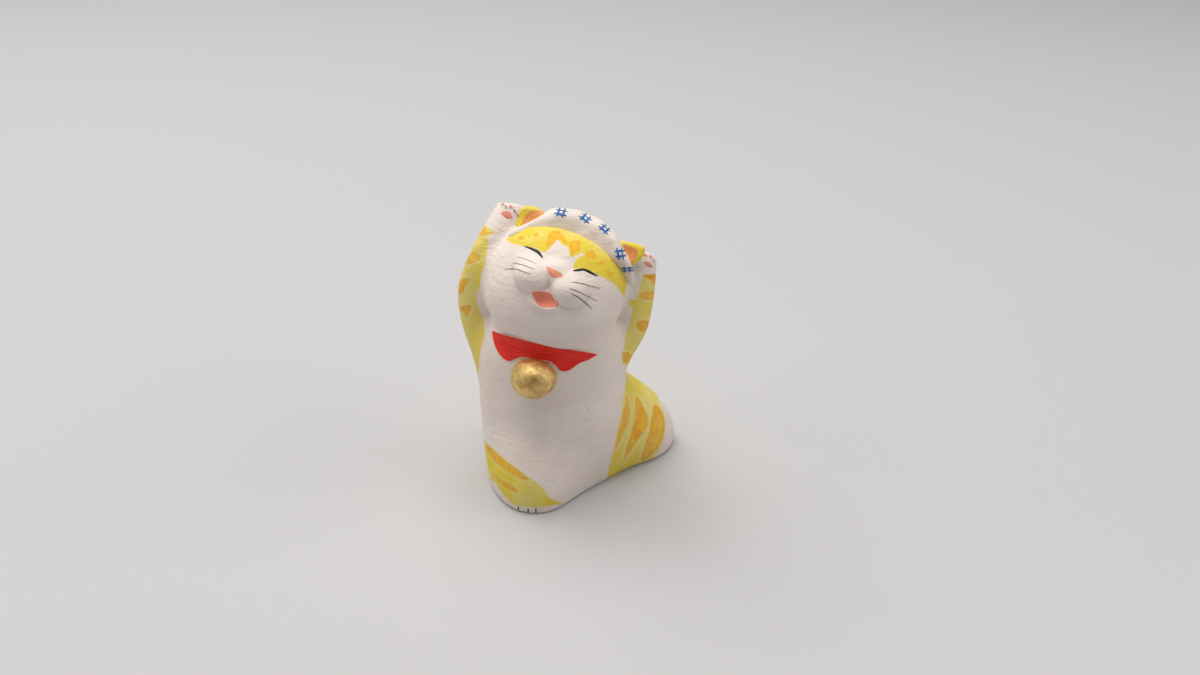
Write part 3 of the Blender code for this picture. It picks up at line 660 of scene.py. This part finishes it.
ochrePaint = {
    "forehead": (
        ((518, 239), (521, 236), (525, 237), (522, 240)),
        ((533.8, 233), (538, 232.4), (538, 236.4), (534.6, 236.8)),
        (
            (546.2, 245.7), (547.5, 238.5), (549.8, 232.6), (554, 230.6), (560.4, 231.8), (564.8, 238),
            (568, 244.5), (566, 246), (561.8, 241), (558, 238.8), (554, 242.7), (549.5, 246.2),
        ),
        ((570, 241.5), (580.3, 240.6), (579.6, 250), (576, 251.5), (571.5, 256), (569.5, 249)),
        ((584.4, 255.4), (591.4, 249.8), (596, 255), (595.2, 259), (588, 258)),
        (
            (591.8, 262.6), (598.4, 262.4), (603, 260.6), (607.8, 259.4), (606.2, 262.4), (600.8, 265),
            (594.4, 265),
        ),
        ((605.4, 270.2), (609.8, 271.8), (614.8, 272.3), (612.2, 275.4), (609.2, 278.8), (608, 274.8)),
    ),
    "rightArm": (
        ((479.5, 235.6), (484.5, 226), (487.5, 230.5), (495, 232.8), (488, 234.6)),
        ((463, 265.5), (472, 251.8), (481.5, 257.6), (475.7, 261.8), (468, 264)),
        ((459, 293), (459.5, 280), (470.6, 279), (465.4, 286), (462.5, 293)),
        ((459.5, 308), (467, 304.8), (471.4, 306.4), (467, 317), (463, 312)),
    ),
    "leftArm": (
        ((643, 276), (648, 274.5), (657, 275), (658, 285), (653, 284), (648.5, 279)),
        ((638.8, 296.5), (643.4, 292), (652, 291), (658, 292), (658, 302), (652, 300.5), (644, 299.5)),
        ((636.2, 323), (641, 320.5), (649, 321.5), (647, 330), (643, 332), (638, 329)),
        ((617.5, 354.5), (624, 352), (632, 356), (630, 363), (621, 361.5)),
    ),
    "haunch": (
        (
            (626, 394.2), (629, 403), (629.9, 414.7), (626, 428.4), (615.3, 449.8), (618.2, 434.2),
            (622.1, 416.7), (625, 403),
        ),
        (
            (635.8, 395.2), (642.6, 405), (647.9, 418.6), (646.5, 428.4), (637.7, 440), (629, 453.7),
            (624, 459.6), (627, 446), (631.9, 430.3), (634.8, 414.7),
        ),
        (
            (654.3, 405), (660.2, 408.9), (665, 422.5), (663, 438.1), (655.3, 451.8), (641.6, 460.6),
            (644.6, 446), (649.4, 430.3), (652.4, 414.7),
        ),
    ),
    "foot": (
        (
            (485.6, 444.9), (495.4, 451.8), (507, 461.5), (520.7, 472.3), (529.5, 481), (516.8, 477.1),
            (503.2, 468.4), (491.5, 457.6),
        ),
        ((491.4, 471.3), (501.2, 479), (511.9, 485), (517.8, 491.8), (509, 489.8), (499.3, 483)),
    ),
    "saddle": (
        ((-5, 28), (-1, 30), (3, 20), (3, 12), (0, 17), (-3, 23)),
        ((4, 31), (8, 31), (11, 21), (11, 11), (7, 17), (5, 24)),
        ((13, 28), (16, 25), (18, 17), (18, 10), (15, 14), (13, 21)),
    ),
}
earPaint = {
    -1: (
        (519.8, 228.5), (522.5, 221.5), (525.5, 215.3), (530, 211.2), (536, 210), (543.4, 211.8),
        (542, 217), (534, 224),
    ),
    1: (
        (622.8, 245.3), (629.3, 246.5), (638, 250.2), (636.8, 255.8), (634.3, 259.8), (630.8, 265.5),
        (627, 262), (622, 252),
    ),
}
pinkPaint = {
    "mouth": (
        (531.9, 292.4), (535.7, 291.4), (543.4, 291.7), (548.6, 292.2), (552, 295.3), (553.7, 298.7),
        (558.3, 302.7), (558.9, 305.6), (552.9, 307.3), (540.9, 307.3), (536.6, 303), (533.7, 297),
    ),
    "nose": (
        (546, 266.7), (553, 269), (559.7, 272.1), (563.1, 275.2), (562.3, 276.9), (552.9, 277.6),
        (548.6, 273),
    ),
}
paintReach = {  # millimetres that paint may lie off its form, or back from the photograph's side
    "forehead": 0.8,
    "underCloth": 1.2,
    "headBack": 3.0,
    "arm": 1.6,
    "haunch": 4.5,
    "haunchBack": 4.0,
    "haunchFacing": (0.35, -0.87, 0.35),
    "foot": 3.0,
    "footBack": 8.0,
    "tail": 0.7,
    "saddleFrom": 4.0,
    "pinkBack": -8.0,
    "farthest": 4.0,
}
richness = {  # how full the yellow is within so many millimetres of a form
    "head": (1.0, 0.45),
    "legRight": (2.0, 0.05),
    "armLeft": (1.0, -0.4),
    "armRight": (1.0, -0.4),
}
restRichness = -0.2


def paintFields(p):
    uv, behind = toPixel(p), p[:, (0, 2)]
    f = clayForms(p)
    q = inHead(p)
    reach = paintReach
    back = np.where(q[:, 0] < 0, reach["underCloth"] - behindBand(q), reach["headBack"] - q[:, 1])
    limits = {
        "forehead": np.minimum(reach["forehead"] - f["head"], back),
        "rightArm": reach["arm"] - f["armRight"],
        "leftArm": reach["arm"] - f["armLeft"],
        "haunch": reach["haunch"] - f["legLeft"],
        "foot": np.minimum(reach["foot"] - f["legRight"], reach["footBack"] - p[:, 1]),
    }
    yellow, ochre = [reach["tail"] - f["tail"]], []
    for place, limit in limits.items():
        yellow.append(np.minimum(outlineField(uv, yellowPaint[place]) * pxSize, limit))
        if place == "haunch":  # its strokes stay on the side that faces the photograph
            facing = (p - haunch["centre"]) @ reach["haunchFacing"]
            limit = np.minimum(limit, reach["haunchBack"] + facing)
        ochre.append(np.minimum(outlines(uv, *ochrePaint[place]) * pxSize, limit))
    rear = p[:, 1] - reach["saddleFrom"]
    yellow.append(np.minimum(outlineField(behind, yellowPaint["saddle"]), rear))
    ochre.append(np.minimum(outlines(behind, *ochrePaint["saddle"]), rear))
    pink = outlines(uv, pinkPaint["mouth"], pinkPaint["nose"]) * pxSize
    near = [f[form] < limit for form, (limit, _) in richness.items()]
    found = {
        "yellowField": np.max(yellow, axis=0),
        "ochreField": np.max(ochre, axis=0),
        "pinkField": np.minimum(pink, reach["pinkBack"] - q[:, 1]),
        "richness": np.select(near, [rich for _, rich in richness.values()], restRichness),
    }
    return {name: np.clip(field, -reach["farthest"], reach["farthest"]) for name, field in found.items()}


# shader groups that the finishes share

def addNode(tree, kind, inputs=None, **settings):
    made = tree.nodes.new(kind)
    for name, value in settings.items():
        setattr(made, name, value)
    for name, value in (inputs or {}).items():
        if isinstance(value, bpy.types.NodeSocket):
            tree.links.new(value, made.inputs[name])
        else:
            made.inputs[name].default_value = value
    return made


def addSocket(tree, label, side, kind="Float"):
    return tree.interface.new_socket(label, in_out=side, socket_type="NodeSocket" + kind)


def newGroup(name, inputs, outputs):
    tree = bpy.data.node_groups.new(name, "ShaderNodeTree")
    for label, value in inputs.items():
        addSocket(tree, label, "INPUT").default_value = value
    for label in outputs:
        addSocket(tree, label, "OUTPUT")
    return tree, tree.nodes.new("NodeGroupInput").outputs, tree.nodes.new("NodeGroupOutput").inputs


def maths(tree, operation, a, b=0.0, clamp=False):
    return addNode(tree, "ShaderNodeMath", {0: a, 1: b}, operation=operation, use_clamp=clamp).outputs[0]


def times(tree, a, b):
    return maths(tree, "MULTIPLY", a, b)


def shares(tree, a, partA, b, partB):
    return maths(tree, "ADD", times(tree, a, partA), times(tree, b, partB))


def noise(tree, place, scale, detail, rough=0.5):
    sockets = {"Vector": place, "Scale": scale, "Detail": detail, "Roughness": rough}
    return addNode(tree, "ShaderNodeTexNoise", sockets).outputs[0]


def ramp(tree, value, low, high, a=0.0, b=1.0):
    sockets = {"Value": value, "From Min": low, "From Max": high, "To Min": a, "To Max": b}
    return addNode(tree, "ShaderNodeMapRange", sockets, interpolation_type="SMOOTHSTEP").outputs[0]


def clayCoatGroup():  # slip laid on with a brush: cloudy tint, brush streaks, fine grain and pinholes
    results = ("Tint", "Mottle", "Streak", "Pits", "Height")
    tree, given, out = newGroup("clayCoat", {"Streaks": 1.0, "Pinholes": 1.0}, results)
    place = addNode(tree, "ShaderNodeTexCoord").outputs["Object"]
    cloud = noise(tree, place, scale=110.0, detail=4.0)
    mottle = noise(tree, place, scale=480.0, detail=4.0, rough=0.6)
    strokes = {"Vector": place, "Rotation": (0.35, 0.2, 0.5), "Scale": (160, 300, 1500)}
    drawn = addNode(tree, "ShaderNodeMapping", strokes).outputs[0]
    streak = noise(tree, drawn, scale=1.0, detail=3.0, rough=0.6)
    grain = noise(tree, place, scale=2400.0, detail=2.0)
    cells = addNode(tree, "ShaderNodeTexVoronoi", {"Vector": place, "Scale": 330.0})
    apart = addNode(tree, "ShaderNodeSeparateColor", {0: cells.outputs["Color"]}).outputs[0]
    few = ramp(tree, apart, 0.94, 0.96)
    pits = times(tree, ramp(tree, cells.outputs["Distance"], 0.025, 0.07, 1.0, 0.0), few)
    pits = times(tree, pits, given["Pinholes"])
    height = times(tree, times(tree, streak, 0.5), given["Streaks"])
    height = maths(tree, "ADD", height, times(tree, grain, 0.3))
    height = maths(tree, "ADD", height, times(tree, mottle, 0.8))
    height = maths(tree, "SUBTRACT", height, pits)
    for name, value in zip(results, (cloud, mottle, streak, pits, height)):
        tree.links.new(value, out[name])
    return tree


def washEdgeGroup():  # where a wash of paint lies, and where it pooled along its edge
    tree, given, out = newGroup("washEdge", {"Field": 0.0, "Soft": 0.1, "Wobble": 0.25}, ("Mask", "Pool"))
    place = addNode(tree, "ShaderNodeTexCoord").outputs["Object"]
    ragged = noise(tree, place, scale=900.0, detail=3.0)
    shift = times(tree, maths(tree, "SUBTRACT", ragged, 0.5), given["Wobble"])
    field = maths(tree, "ADD", given["Field"], shift)
    mask = ramp(tree, field, times(tree, given["Soft"], -1.0), given["Soft"])
    pool = times(tree, ramp(tree, field, 0.15, 0.75, 1.0, 0.0), mask)
    tree.links.new(mask, out["Mask"])
    tree.links.new(pool, out["Pool"])
    return tree


clayCoat, washEdge = clayCoatGroup(), washEdgeGroup()


# finishes

def newFinish(name):
    material = bpy.data.materials.new(name)
    material.use_nodes = True
    return material, material.node_tree


def placeGroup(tree, group, values):
    return addNode(tree, "ShaderNodeGroup", values, node_tree=group).outputs


def coated(name, streaks, pinholes):
    material, tree = newFinish(name)
    return material, tree, placeGroup(tree, clayCoat, {"Streaks": streaks, "Pinholes": pinholes})


def washAt(tree, field, soft, wobble):
    return placeGroup(tree, washEdge, {"Field": readField(tree, field), "Soft": soft, "Wobble": wobble})


def blend(tree, factor, a, b):
    a, b = (colour if isinstance(colour, bpy.types.NodeSocket) else (*colour, 1) for colour in (a, b))
    return addNode(tree, "ShaderNodeMix", {0: factor, 6: a, 7: b}, data_type="RGBA").outputs[2]


def readField(tree, name):
    return addNode(tree, "ShaderNodeAttribute", attribute_name=name).outputs["Fac"]


def dullness(tree, coat, least, most):
    return ramp(tree, coat["Tint"], 0.2, 0.8, least, most)


def finished(material, colour, rough, height, bump, sheen=0.5, metal=0.0):  # bump is strength and distance
    tree = material.node_tree
    inputs = tree.nodes["Principled BSDF"].inputs
    made = addNode(tree, "ShaderNodeBump", {"Height": height, "Strength": bump[0], "Distance": bump[1]})
    for socket, name in ((colour, "Base Color"), (rough, "Roughness"), (made.outputs[0], "Normal")):
        tree.links.new(socket, inputs[name])
    inputs["Specular IOR Level"].default_value = sheen
    inputs["Metallic"].default_value = metal
    return material


hues = {
    "slipLight": (0.82, 0.728, 0.668),
    "slipShade": (0.775, 0.678, 0.618),
    # painted shade inside the pinholes
    "pitShade": (0.16, 0.12, 0.10),
    "yellowThin": (0.78, 0.66, 0.20),
    "yellowFull": (0.76, 0.585, 0.035),
    "ochreThin": (0.85, 0.48, 0.03),
    "ochreFull": (0.78, 0.345, 0.012),
    "ochrePool": (0.58, 0.26, 0.012),
    "pink": (0.93, 0.36, 0.25),
    "pinkDeep": (0.80, 0.25, 0.16),
    "earLight": (0.80, 0.36, 0.11),
    "earDeep": (0.72, 0.27, 0.07),
    "redLight": (0.86, 0.030, 0.015),
    "redDeep": (0.70, 0.014, 0.009),
    "redPit": (0.75, 0.35, 0.32),
    "goldDark": (0.50, 0.29, 0.08),
    "goldLight": (0.86, 0.62, 0.25),
    # painted reflection: the dark camera mirrored in the middle of the bell
    "goldPaintedReflection": (0.20, 0.11, 0.03),
}


def slipBase(tree, coat):
    uneven = shares(tree, coat["Tint"], 0.6, coat["Streak"], 0.4)
    white = blend(tree, ramp(tree, uneven, 0.38, 0.62), hues["slipLight"], hues["slipShade"])
    # painted shade: each pinhole is coloured dark for the shade inside the pit
    return blend(tree, times(tree, coat["Pits"], 0.85), white, hues["pitShade"])


def washDepth(tree, coat):  # thin and full places of a wash, drawn out a little by the brush
    both = shares(tree, coat["Tint"], 0.75, coat["Streak"], 0.25)
    return ramp(tree, both, 0.34, 0.58)


def paintedClayFinish():
    material, tree, coat = coated("paintedClay", streaks=1.0, pinholes=1.0)
    colour = slipBase(tree, coat)
    thick = washDepth(tree, coat)
    rich = readField(tree, "richness")
    thinned = ramp(tree, rich, -0.1, 0.25, 0.75, 0.1)  # the yellow is thin round the strokes
    bare = ramp(tree, readField(tree, "ochreField"), -0.9, -0.1, 0.0, thinned)
    fuller = maths(tree, "ADD", maths(tree, "SUBTRACT", thick, bare), rich, clamp=True)
    yellow = washAt(tree, "yellowField", soft=0.18, wobble=0.45)
    wash = blend(tree, fuller, hues["yellowThin"], hues["yellowFull"])
    colour = blend(tree, times(tree, yellow["Mask"], 0.96), colour, wash)
    ochre = washAt(tree, "ochreField", soft=0.3, wobble=0.6)
    paler = ramp(tree, rich, 0.0, 0.3, 0.0, 0.35)
    spread = maths(tree, "SUBTRACT", ramp(tree, coat["Mottle"], 0.36, 0.62), paler, clamp=True)
    stroke = blend(tree, spread, hues["ochreThin"], hues["ochreFull"])
    stroke = blend(tree, times(tree, ochre["Pool"], 0.3), stroke, hues["ochrePool"])
    cover = times(tree, ochre["Mask"], ramp(tree, coat["Tint"], 0.36, 0.56, 0.97, 0.74))
    colour = blend(tree, cover, colour, stroke)
    pink = washAt(tree, "pinkField", soft=0.08, wobble=0.1)
    lips = blend(tree, times(tree, pink["Pool"], 0.6), hues["pink"], hues["pinkDeep"])
    colour = blend(tree, pink["Mask"], colour, lips)
    painted = maths(tree, "MAXIMUM", yellow["Mask"], pink["Mask"])
    rough = maths(tree, "SUBTRACT", dullness(tree, coat, 0.76, 0.9), times(tree, painted, 0.14))
    return finished(material, colour, rough, coat["Height"], bump=(0.85, 0.0004), sheen=0.2)


def clothFinish():
    material, tree, coat = coated("clothClay", streaks=1.2, pinholes=0.6)
    rough = dullness(tree, coat, 0.74, 0.88)
    return finished(material, slipBase(tree, coat), rough, coat["Height"], bump=(0.75, 0.0003), sheen=0.3)


def earFinish():
    material, tree, coat = coated("earYellow", streaks=1.0, pinholes=0.4)
    thick = washDepth(tree, coat)
    wash = blend(tree, thick, hues["yellowThin"], hues["yellowFull"])
    inner = washAt(tree, "innerField", soft=0.12, wobble=0.3)
    hollow = blend(tree, thick, hues["earLight"], hues["earDeep"])
    colour = blend(tree, inner["Mask"], wash, hollow)
    rough = dullness(tree, coat, 0.64, 0.8)
    return finished(material, colour, rough, coat["Height"], bump=(0.75, 0.0003))


def bibFinish():
    material, tree, coat = coated("redBib", streaks=0.8, pinholes=0.8)
    red = washAt(tree, "redField", soft=0.06, wobble=0.12)
    thick = ramp(tree, coat["Streak"], 0.3, 0.7)
    paint = blend(tree, thick, hues["redLight"], hues["redDeep"])
    paint = blend(tree, times(tree, coat["Pits"], 0.5), paint, hues["redPit"])
    colour = blend(tree, red["Mask"], slipBase(tree, coat), paint)
    rough = dullness(tree, coat, 0.5, 0.64)
    return finished(material, colour, rough, coat["Height"], bump=(0.25, 0.0002), sheen=0.25)


def bellFinish():  # gold paint brushed round and round the ball, darkened at the middle as a painted reflection of the camera
    material, tree = newFinish("goldBell")
    place = addNode(tree, "ShaderNodeTexCoord").outputs["Object"]
    ring = readField(tree, "ringAndReflectionField")
    around = [times(tree, readField(tree, name), 1.1) for name in ("ringCos", "ringSin")]
    lanes = times(tree, ring, 2.6)
    drawn = addNode(tree, "ShaderNodeCombineXYZ", {0: lanes, 1: around[0], 2: around[1]}).outputs[0]
    brush = noise(tree, drawn, scale=1.6, detail=5.0, rough=0.65)
    cloud = noise(tree, place, scale=520.0, detail=3.0)
    both = shares(tree, brush, 0.6, cloud, 0.4)
    thick = ramp(tree, both, 0.36, 0.64)
    gold = blend(tree, thick, hues["goldDark"], hues["goldLight"])
    # painted reflection: the gold turns dark where the ball faces the camera
    reflectionShare = ramp(tree, ring, 0.15, 1.5, 0.55, 0.0)
    gold = blend(tree, reflectionShare, gold, hues["goldPaintedReflection"])
    rough = ramp(tree, brush, 0.3, 0.7, 0.46, 0.32)
    return finished(material, gold, rough, both, bump=(0.6, 0.0003), metal=0.75)


def lineFinish(name, full, thin, rough):  # a loaded brush line, a little dry in places
    material, tree, coat = coated(name, streaks=0.6, pinholes=0.0)
    dry = ramp(tree, coat["Streak"], 0.45, 0.8)
    duller = dullness(tree, coat, rough, rough + 0.15)
    return finished(material, blend(tree, dry, full, thin), duller, coat["Height"], bump=(0.2, 0.0001))


paintedClay = paintedClayFinish()
clothClay = clothFinish()
earYellow = earFinish()
redBib = bibFinish()
goldBell = bellFinish()
inkLine = lineFinish("inkLine", (0.006, 0.006, 0.007), (0.022, 0.02, 0.02), 0.6)
whiskerLine = lineFinish("whiskerLine", (0.10, 0.09, 0.09), (0.26, 0.23, 0.22), 0.6)
blueLine = lineFinish("blueLine", (0.010, 0.115, 0.38), (0.05, 0.26, 0.56), 0.5)
pinkPad = lineFinish("pinkPad", (0.72, 0.22, 0.16), (0.80, 0.36, 0.28), 0.6)
padLine = lineFinish("padLine", (0.10, 0.12, 0.10), (0.25, 0.26, 0.22), 0.6)
print("finishes made")


# skins

clayStep, thinStep = ((0.38, 0.3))  # size of a cell in millimetres
clayPoints, clayFaces, clayNormals = skinOf(clayField, *body["box"], clayStep)
print("clay skin", len(clayPoints), "points")


def splitSkin(points, faces, normals, values, owner, wall=0.7):  # a closed piece for each owner
    for part in range(owner.max() + 1):
        mine = faces[owner == part]
        kept, again = np.unique(mine, return_inverse=True)
        mine = again.reshape(mine.shape)
        edges = np.concatenate([mine[:, [i, (i + 1) % 4]] for i in range(4)])
        ends = np.sort(edges, axis=1)
        _, index, count = np.unique(ends, axis=0, return_inverse=True, return_counts=True)
        rim = edges[count[index.reshape(-1)] == 1]
        loop = {a: a for a in np.unique(rim)}

        def root(a):
            while loop[a] != a:
                loop[a] = loop[loop[a]]
                a = loop[a]
            return a

        for a, b in rim:
            loop[root(a)] = root(b)
        place, turn = points[kept], normals[kept]
        sunk = {a: len(kept) + i for i, a in enumerate(loop)}
        middles = {r: len(kept) + len(loop) + i for i, r in enumerate(sorted({root(a) for a in loop}))}
        low = np.array([place[a] - turn[a] * wall for a in loop])
        centres = np.array([np.mean([place[a] for a in loop if root(a) == r], axis=0) for r in middles])
        extra = [(b, a, sunk[a], sunk[b]) for a, b in rim]
        extra += [(sunk[b], sunk[a], middles[root(a)]) for a, b in rim]
        source = [*kept, *(kept[a] for a in loop), *(kept[r] for r in middles)]
        paint = {name: field[source] for name, field in values.items()}
        yield np.vstack((place, low, centres)), [*mine.tolist(), *extra], normals[source], paint


clayNodes = {
    "torso": ("white_slip", "torso_front", "torso_rear", "base_slab"),
    "legLeft": ("yellow_paint", "leg_left"),
    "legRight": ("yellow_paint", "leg_right"),
    "tail": ("yellow_paint", "tail"),
    "armLeft": ("yellow_paint", "arm_left"),
    "armRight": ("yellow_paint", "arm_right"),
    "head": ("white_slip", "head_front", "head_rear", "muzzle"),
}
forms = clayForms(clayPoints)
nearness = np.stack([forms[name] for name in clayNodes], 1)
owner = nearness[clayFaces].mean(1).argmin(1)
clayPaint = paintFields(clayPoints)
for name, piece in zip(clayNodes, splitSkin(clayPoints, clayFaces, clayNormals, clayPaint, owner)):
    addPiece(name, meshFrom(name, *piece), paintedClay, *clayNodes[name])
print("clay pieces made")


def skinPiece(name, field, box, material, slot, node, paint=lambda p: {}):
    points, faces, normals = skinOf(field, *box, thinStep)
    addPiece(name, meshFrom(name, points, faces, normals, paint(points)), material, slot, node)


def earPiece(name, side, node):
    def innerEar(p):
        front = ears["innerBack"] - inEar(p, side)[:, 1]
        return {"innerField": np.minimum(outlineField(toPixel(p), earPaint[side]) * pxSize, front)}

    box = ears["box"][side]
    skinPiece(name, lambda p: earField(p, side), box, earYellow, "yellow_paint", node, innerEar)


def redArea(p):
    return {"redField": outlineField(toPixel(p), bib["outline"]) * pxSize - bib["rim"]}


bellBox = (bell["centre"] - bell["margin"], bell["centre"] + bell["margin"])
skinPiece("headCloth", clothField, cloth["box"], clothClay, "white_slip", "head_cloth")
earPiece("earRight", -1, "ear_right")
earPiece("earLeft", 1, "ear_left")
skinPiece("bib", bibField, bib["box"], redBib, "red_paint", "collar", redArea)
skinPiece("bell", bellField, bellBox, goldBell, "gold_paint", "bell", bellRings)
print("cloth, ears, bib and bell made")


# brush lines laid on the surface by one Geometry Nodes tree

def brushTree():
    tree = bpy.data.node_groups.new("brushStroke", "GeometryNodeTree")
    addSocket(tree, "Geometry", "INPUT", "Geometry")
    addSocket(tree, "Flatness", "INPUT")
    addSocket(tree, "Sides", "INPUT", "Int")
    addSocket(tree, "Paint", "INPUT", "Material")
    addSocket(tree, "Geometry", "OUTPUT", "Geometry")
    given, out = tree.nodes.new("NodeGroupInput").outputs, tree.nodes.new("NodeGroupOutput").inputs

    def step(kind, inputs, **settings):
        return addNode(tree, kind, inputs, **settings).outputs[0]

    line = step("GeometryNodeMeshToCurve", {"Mesh": given["Geometry"]})
    facing = step("GeometryNodeInputNamedAttribute", {"Name": "facing"}, data_type="FLOAT_VECTOR")
    line = step("GeometryNodeSetCurveNormal", {"Curve": line, "Normal": facing}, mode="FREE")
    width = step("GeometryNodeInputNamedAttribute", {"Name": "halfWidth"}, data_type="FLOAT")
    circle = {"Resolution": given["Sides"], "Radius": 1.0}
    ring = step("GeometryNodeCurvePrimitiveCircle", circle, mode="RADIUS")
    squash = step("ShaderNodeCombineXYZ", {"X": given["Flatness"], "Y": 1.0, "Z": 1.0})
    ring = step("GeometryNodeTransform", {"Geometry": ring, "Scale": squash})
    sweep = {"Curve": line, "Profile Curve": ring, "Scale": width, "Fill Caps": True}
    swept = step("GeometryNodeCurveToMesh", sweep)
    swept = step("GeometryNodeSetShadeSmooth", {"Geometry": swept})
    real = step("GeometryNodeRealizeInstances", {"Geometry": swept})
    done = step("GeometryNodeSetMaterial", {"Geometry": real, "Material": given["Paint"]})
    tree.links.new(done, out["Geometry"])
    return tree


brush = brushTree()
brushMarks = {"leastHalfWidth": 0.02, "lift": 0.03, "sides": 10}
sight = {"from": 150.0, "to": 290.0, "strides": 120, "stride": 0.6, "rounds": 4}  # from the camera, in mm


def touch(field, uv):  # where lines of sight first meet a form
    rays = np.array([sightLine(u, v) for u, v in uv])
    reach = np.full(len(rays), sight["from"])
    nearest, best = np.full(len(rays), np.inf), reach.copy()
    for _ in range(sight["strides"]):
        gap = field(cameraAt + rays * reach[:, None])
        best = np.where(np.abs(gap) < nearest, reach, best)
        nearest = np.minimum(np.abs(gap), nearest)
        reach = np.minimum(reach + sight["stride"] * gap, sight["to"])
    found = cameraAt + rays * best[:, None]
    for _ in range(sight["rounds"]):  # a line that only just misses is drawn in to the form
        found = found - offSkin(field, found)
    return found


def brushLines(name, strokes, field, material, flatness=0.22, steps=9):
    points, edges, widths = [], [], []
    for stroke in strokes:
        rows = smoothRows(stroke, steps)
        edges += [(len(points) + i, len(points) + i + 1) for i in range(len(rows) - 1)]
        points += rows[:, :2].tolist()
        widths += np.maximum(rows[:, 2] * pxSize, brushMarks["leastHalfWidth"]).tolist()
    places = touch(field, points)
    facing = fieldSlope(field, places)
    facing /= np.linalg.norm(facing, axis=1, keepdims=True)
    places = places + facing * brushMarks["lift"]
    mesh = bpy.data.meshes.new(name)
    mesh.from_pydata((places * mm).tolist(), edges, [])
    kept = mesh.attributes.new("halfWidth", "FLOAT", "POINT")
    kept.data.foreach_set("value", np.array(widths, np.float32) * mm)
    kept = mesh.attributes.new("facing", "FLOAT_VECTOR", "POINT")
    kept.data.foreach_set("vector", facing.astype(np.float32).ravel())
    guide = bpy.data.objects.new(name + "Guide", mesh)
    bpy.context.scene.collection.objects.link(guide)
    modifier = guide.modifiers.new("brush", "NODES")
    modifier.node_group = brush
    given = (item for item in brush.interface.items_tree if item.in_out == "INPUT")
    sockets = {item.name: item.identifier for item in given}
    modifier[sockets["Flatness"]] = flatness
    modifier[sockets["Sides"]] = brushMarks["sides"]
    modifier[sockets["Paint"]] = material
    graph = bpy.context.evaluated_depsgraph_get()
    swept = bpy.data.meshes.new_from_object(guide.evaluated_get(graph))
    swept.name = name
    bpy.data.objects.remove(guide)
    addPiece(name, swept, material, "white_slip")


eyeLines = (
    ((524.6, 246.4, 0.4), (529, 247.8, 1.0), (533.1, 249.5, 1.4), (538.3, 252.4, 1.6), (542.6, 257.8, 0.7)),
    ((573.1, 270.9, 0.7), (578, 270.2, 1.3), (583.7, 269.6, 1.2), (589.7, 272.1, 1.4), (597.4, 276.1, 0.6)),
)
whiskerLines = (
    ((513.4, 262.7, 0.2), (523.7, 265.3, 0.4), (533.5, 269, 0.25)),
    ((504.9, 269.2, 0.2), (516, 269.2, 0.4), (531.4, 274.7, 0.2)),
    ((516.9, 256.7, 0.15), (527, 259.8, 0.3), (535.7, 263.6, 0.15)),
    ((570.9, 282.1, 0.2), (580.3, 283.3, 0.42), (599.7, 288.4, 0.2)),
    ((569.5, 288.4, 0.2), (576.9, 291, 0.42), (596.6, 300.8, 0.2)),
    ((570.9, 293.1, 0.25), (580.3, 298.7, 0.55), (592, 308.7, 0.3)),
)
toeLines = (
    ((518.7, 506.4, 0.4), (518.4, 508.6, 0.65), (517.7, 511.6, 0.5)),
    ((528, 508.2, 0.4), (528.2, 511, 0.65), (528.4, 513.6, 0.5)),
    ((535.8, 507.8, 0.4), (535.9, 510.6, 0.65), (536, 513.4, 0.5)),
)
clothMarks = {  # a plain cross-hatch, two short strokes over two, in place of the marks on the real cloth
    "places": ((561.0, 212.4), (585.4, 218.2), (604.6, 229.0), (620.2, 253.6), (627.0, 269.4)),
    "halfLength": 1.35,
    "apart": 1.15,
    "halfWidth": (0.7, 1.15, 0.7),
}


def crossHatch(marks):
    centres = touch(clothField, marks["places"])
    outs = fieldSlope(clothField, centres)
    strokes = []
    for centre, out in zip(centres, outs / np.linalg.norm(outs, axis=1, keepdims=True)):
        along = np.cross(out, head["turn"][:, 1])
        along /= np.linalg.norm(along)
        across = np.cross(out, along)
        for line, beside in ((along, across), (across, along)):
            for side in (-0.5, 0.5):
                middle = centre + side * marks["apart"] * beside
                points = middle + np.outer((-1, 0, 1), marks["halfLength"] * line)
                strokes.append(np.column_stack((toPixel(points), marks["halfWidth"])))
    return strokes


pawPads = (
    ((501.8, 205.4, 0.9), (502.6, 204.2, 2.0), (503.6, 203.2, 1.0)),
    ((509, 206, 0.9), (510.6, 206.8, 1.8), (512.2, 207.8, 0.9)),
    ((517.4, 213.8, 0.6), (517.9, 215.2, 1.4), (518.4, 216.6, 0.6)),
    ((501.4, 213, 0.8), (505, 213.6, 3.0), (508.5, 215.4, 3.1), (512.2, 217.6, 1.0)),
    ((643.2, 253.6, 0.7), (645, 255, 1.5), (647, 256.8, 0.7)),
    ((649.8, 255, 0.6), (650.8, 256.6, 1.4), (651.4, 258.2, 0.6)),
    ((653.2, 258.8, 0.4), (653.4, 260, 0.9), (653.6, 261.2, 0.4)),
    ((644.4, 262, 0.7), (648.4, 264.2, 2.2), (652.2, 267, 0.8)),
)
padLines = (
    ((505.4, 204.6, 0.35), (505.8, 206.6, 0.6), (506.6, 209, 0.35)),
    ((513.4, 208.8, 0.35), (514.6, 211, 0.6), (516, 213.6, 0.35)),
)
brushLines("eyeLines", eyeLines, clayField, inkLine)
brushLines("whiskerLines", whiskerLines, clayField, whiskerLine, flatness=0.6)
brushLines("toeLines", toeLines, clayField, inkLine, flatness=0.3)
brushLines("blueMarks", crossHatch(clothMarks), clothField, blueLine)
brushLines("pawPads", pawPads, clayField, pinkPad, flatness=0.12)
brushLines("padLines", padLines, clayField, padLine, flatness=0.3)
print("brush lines made")
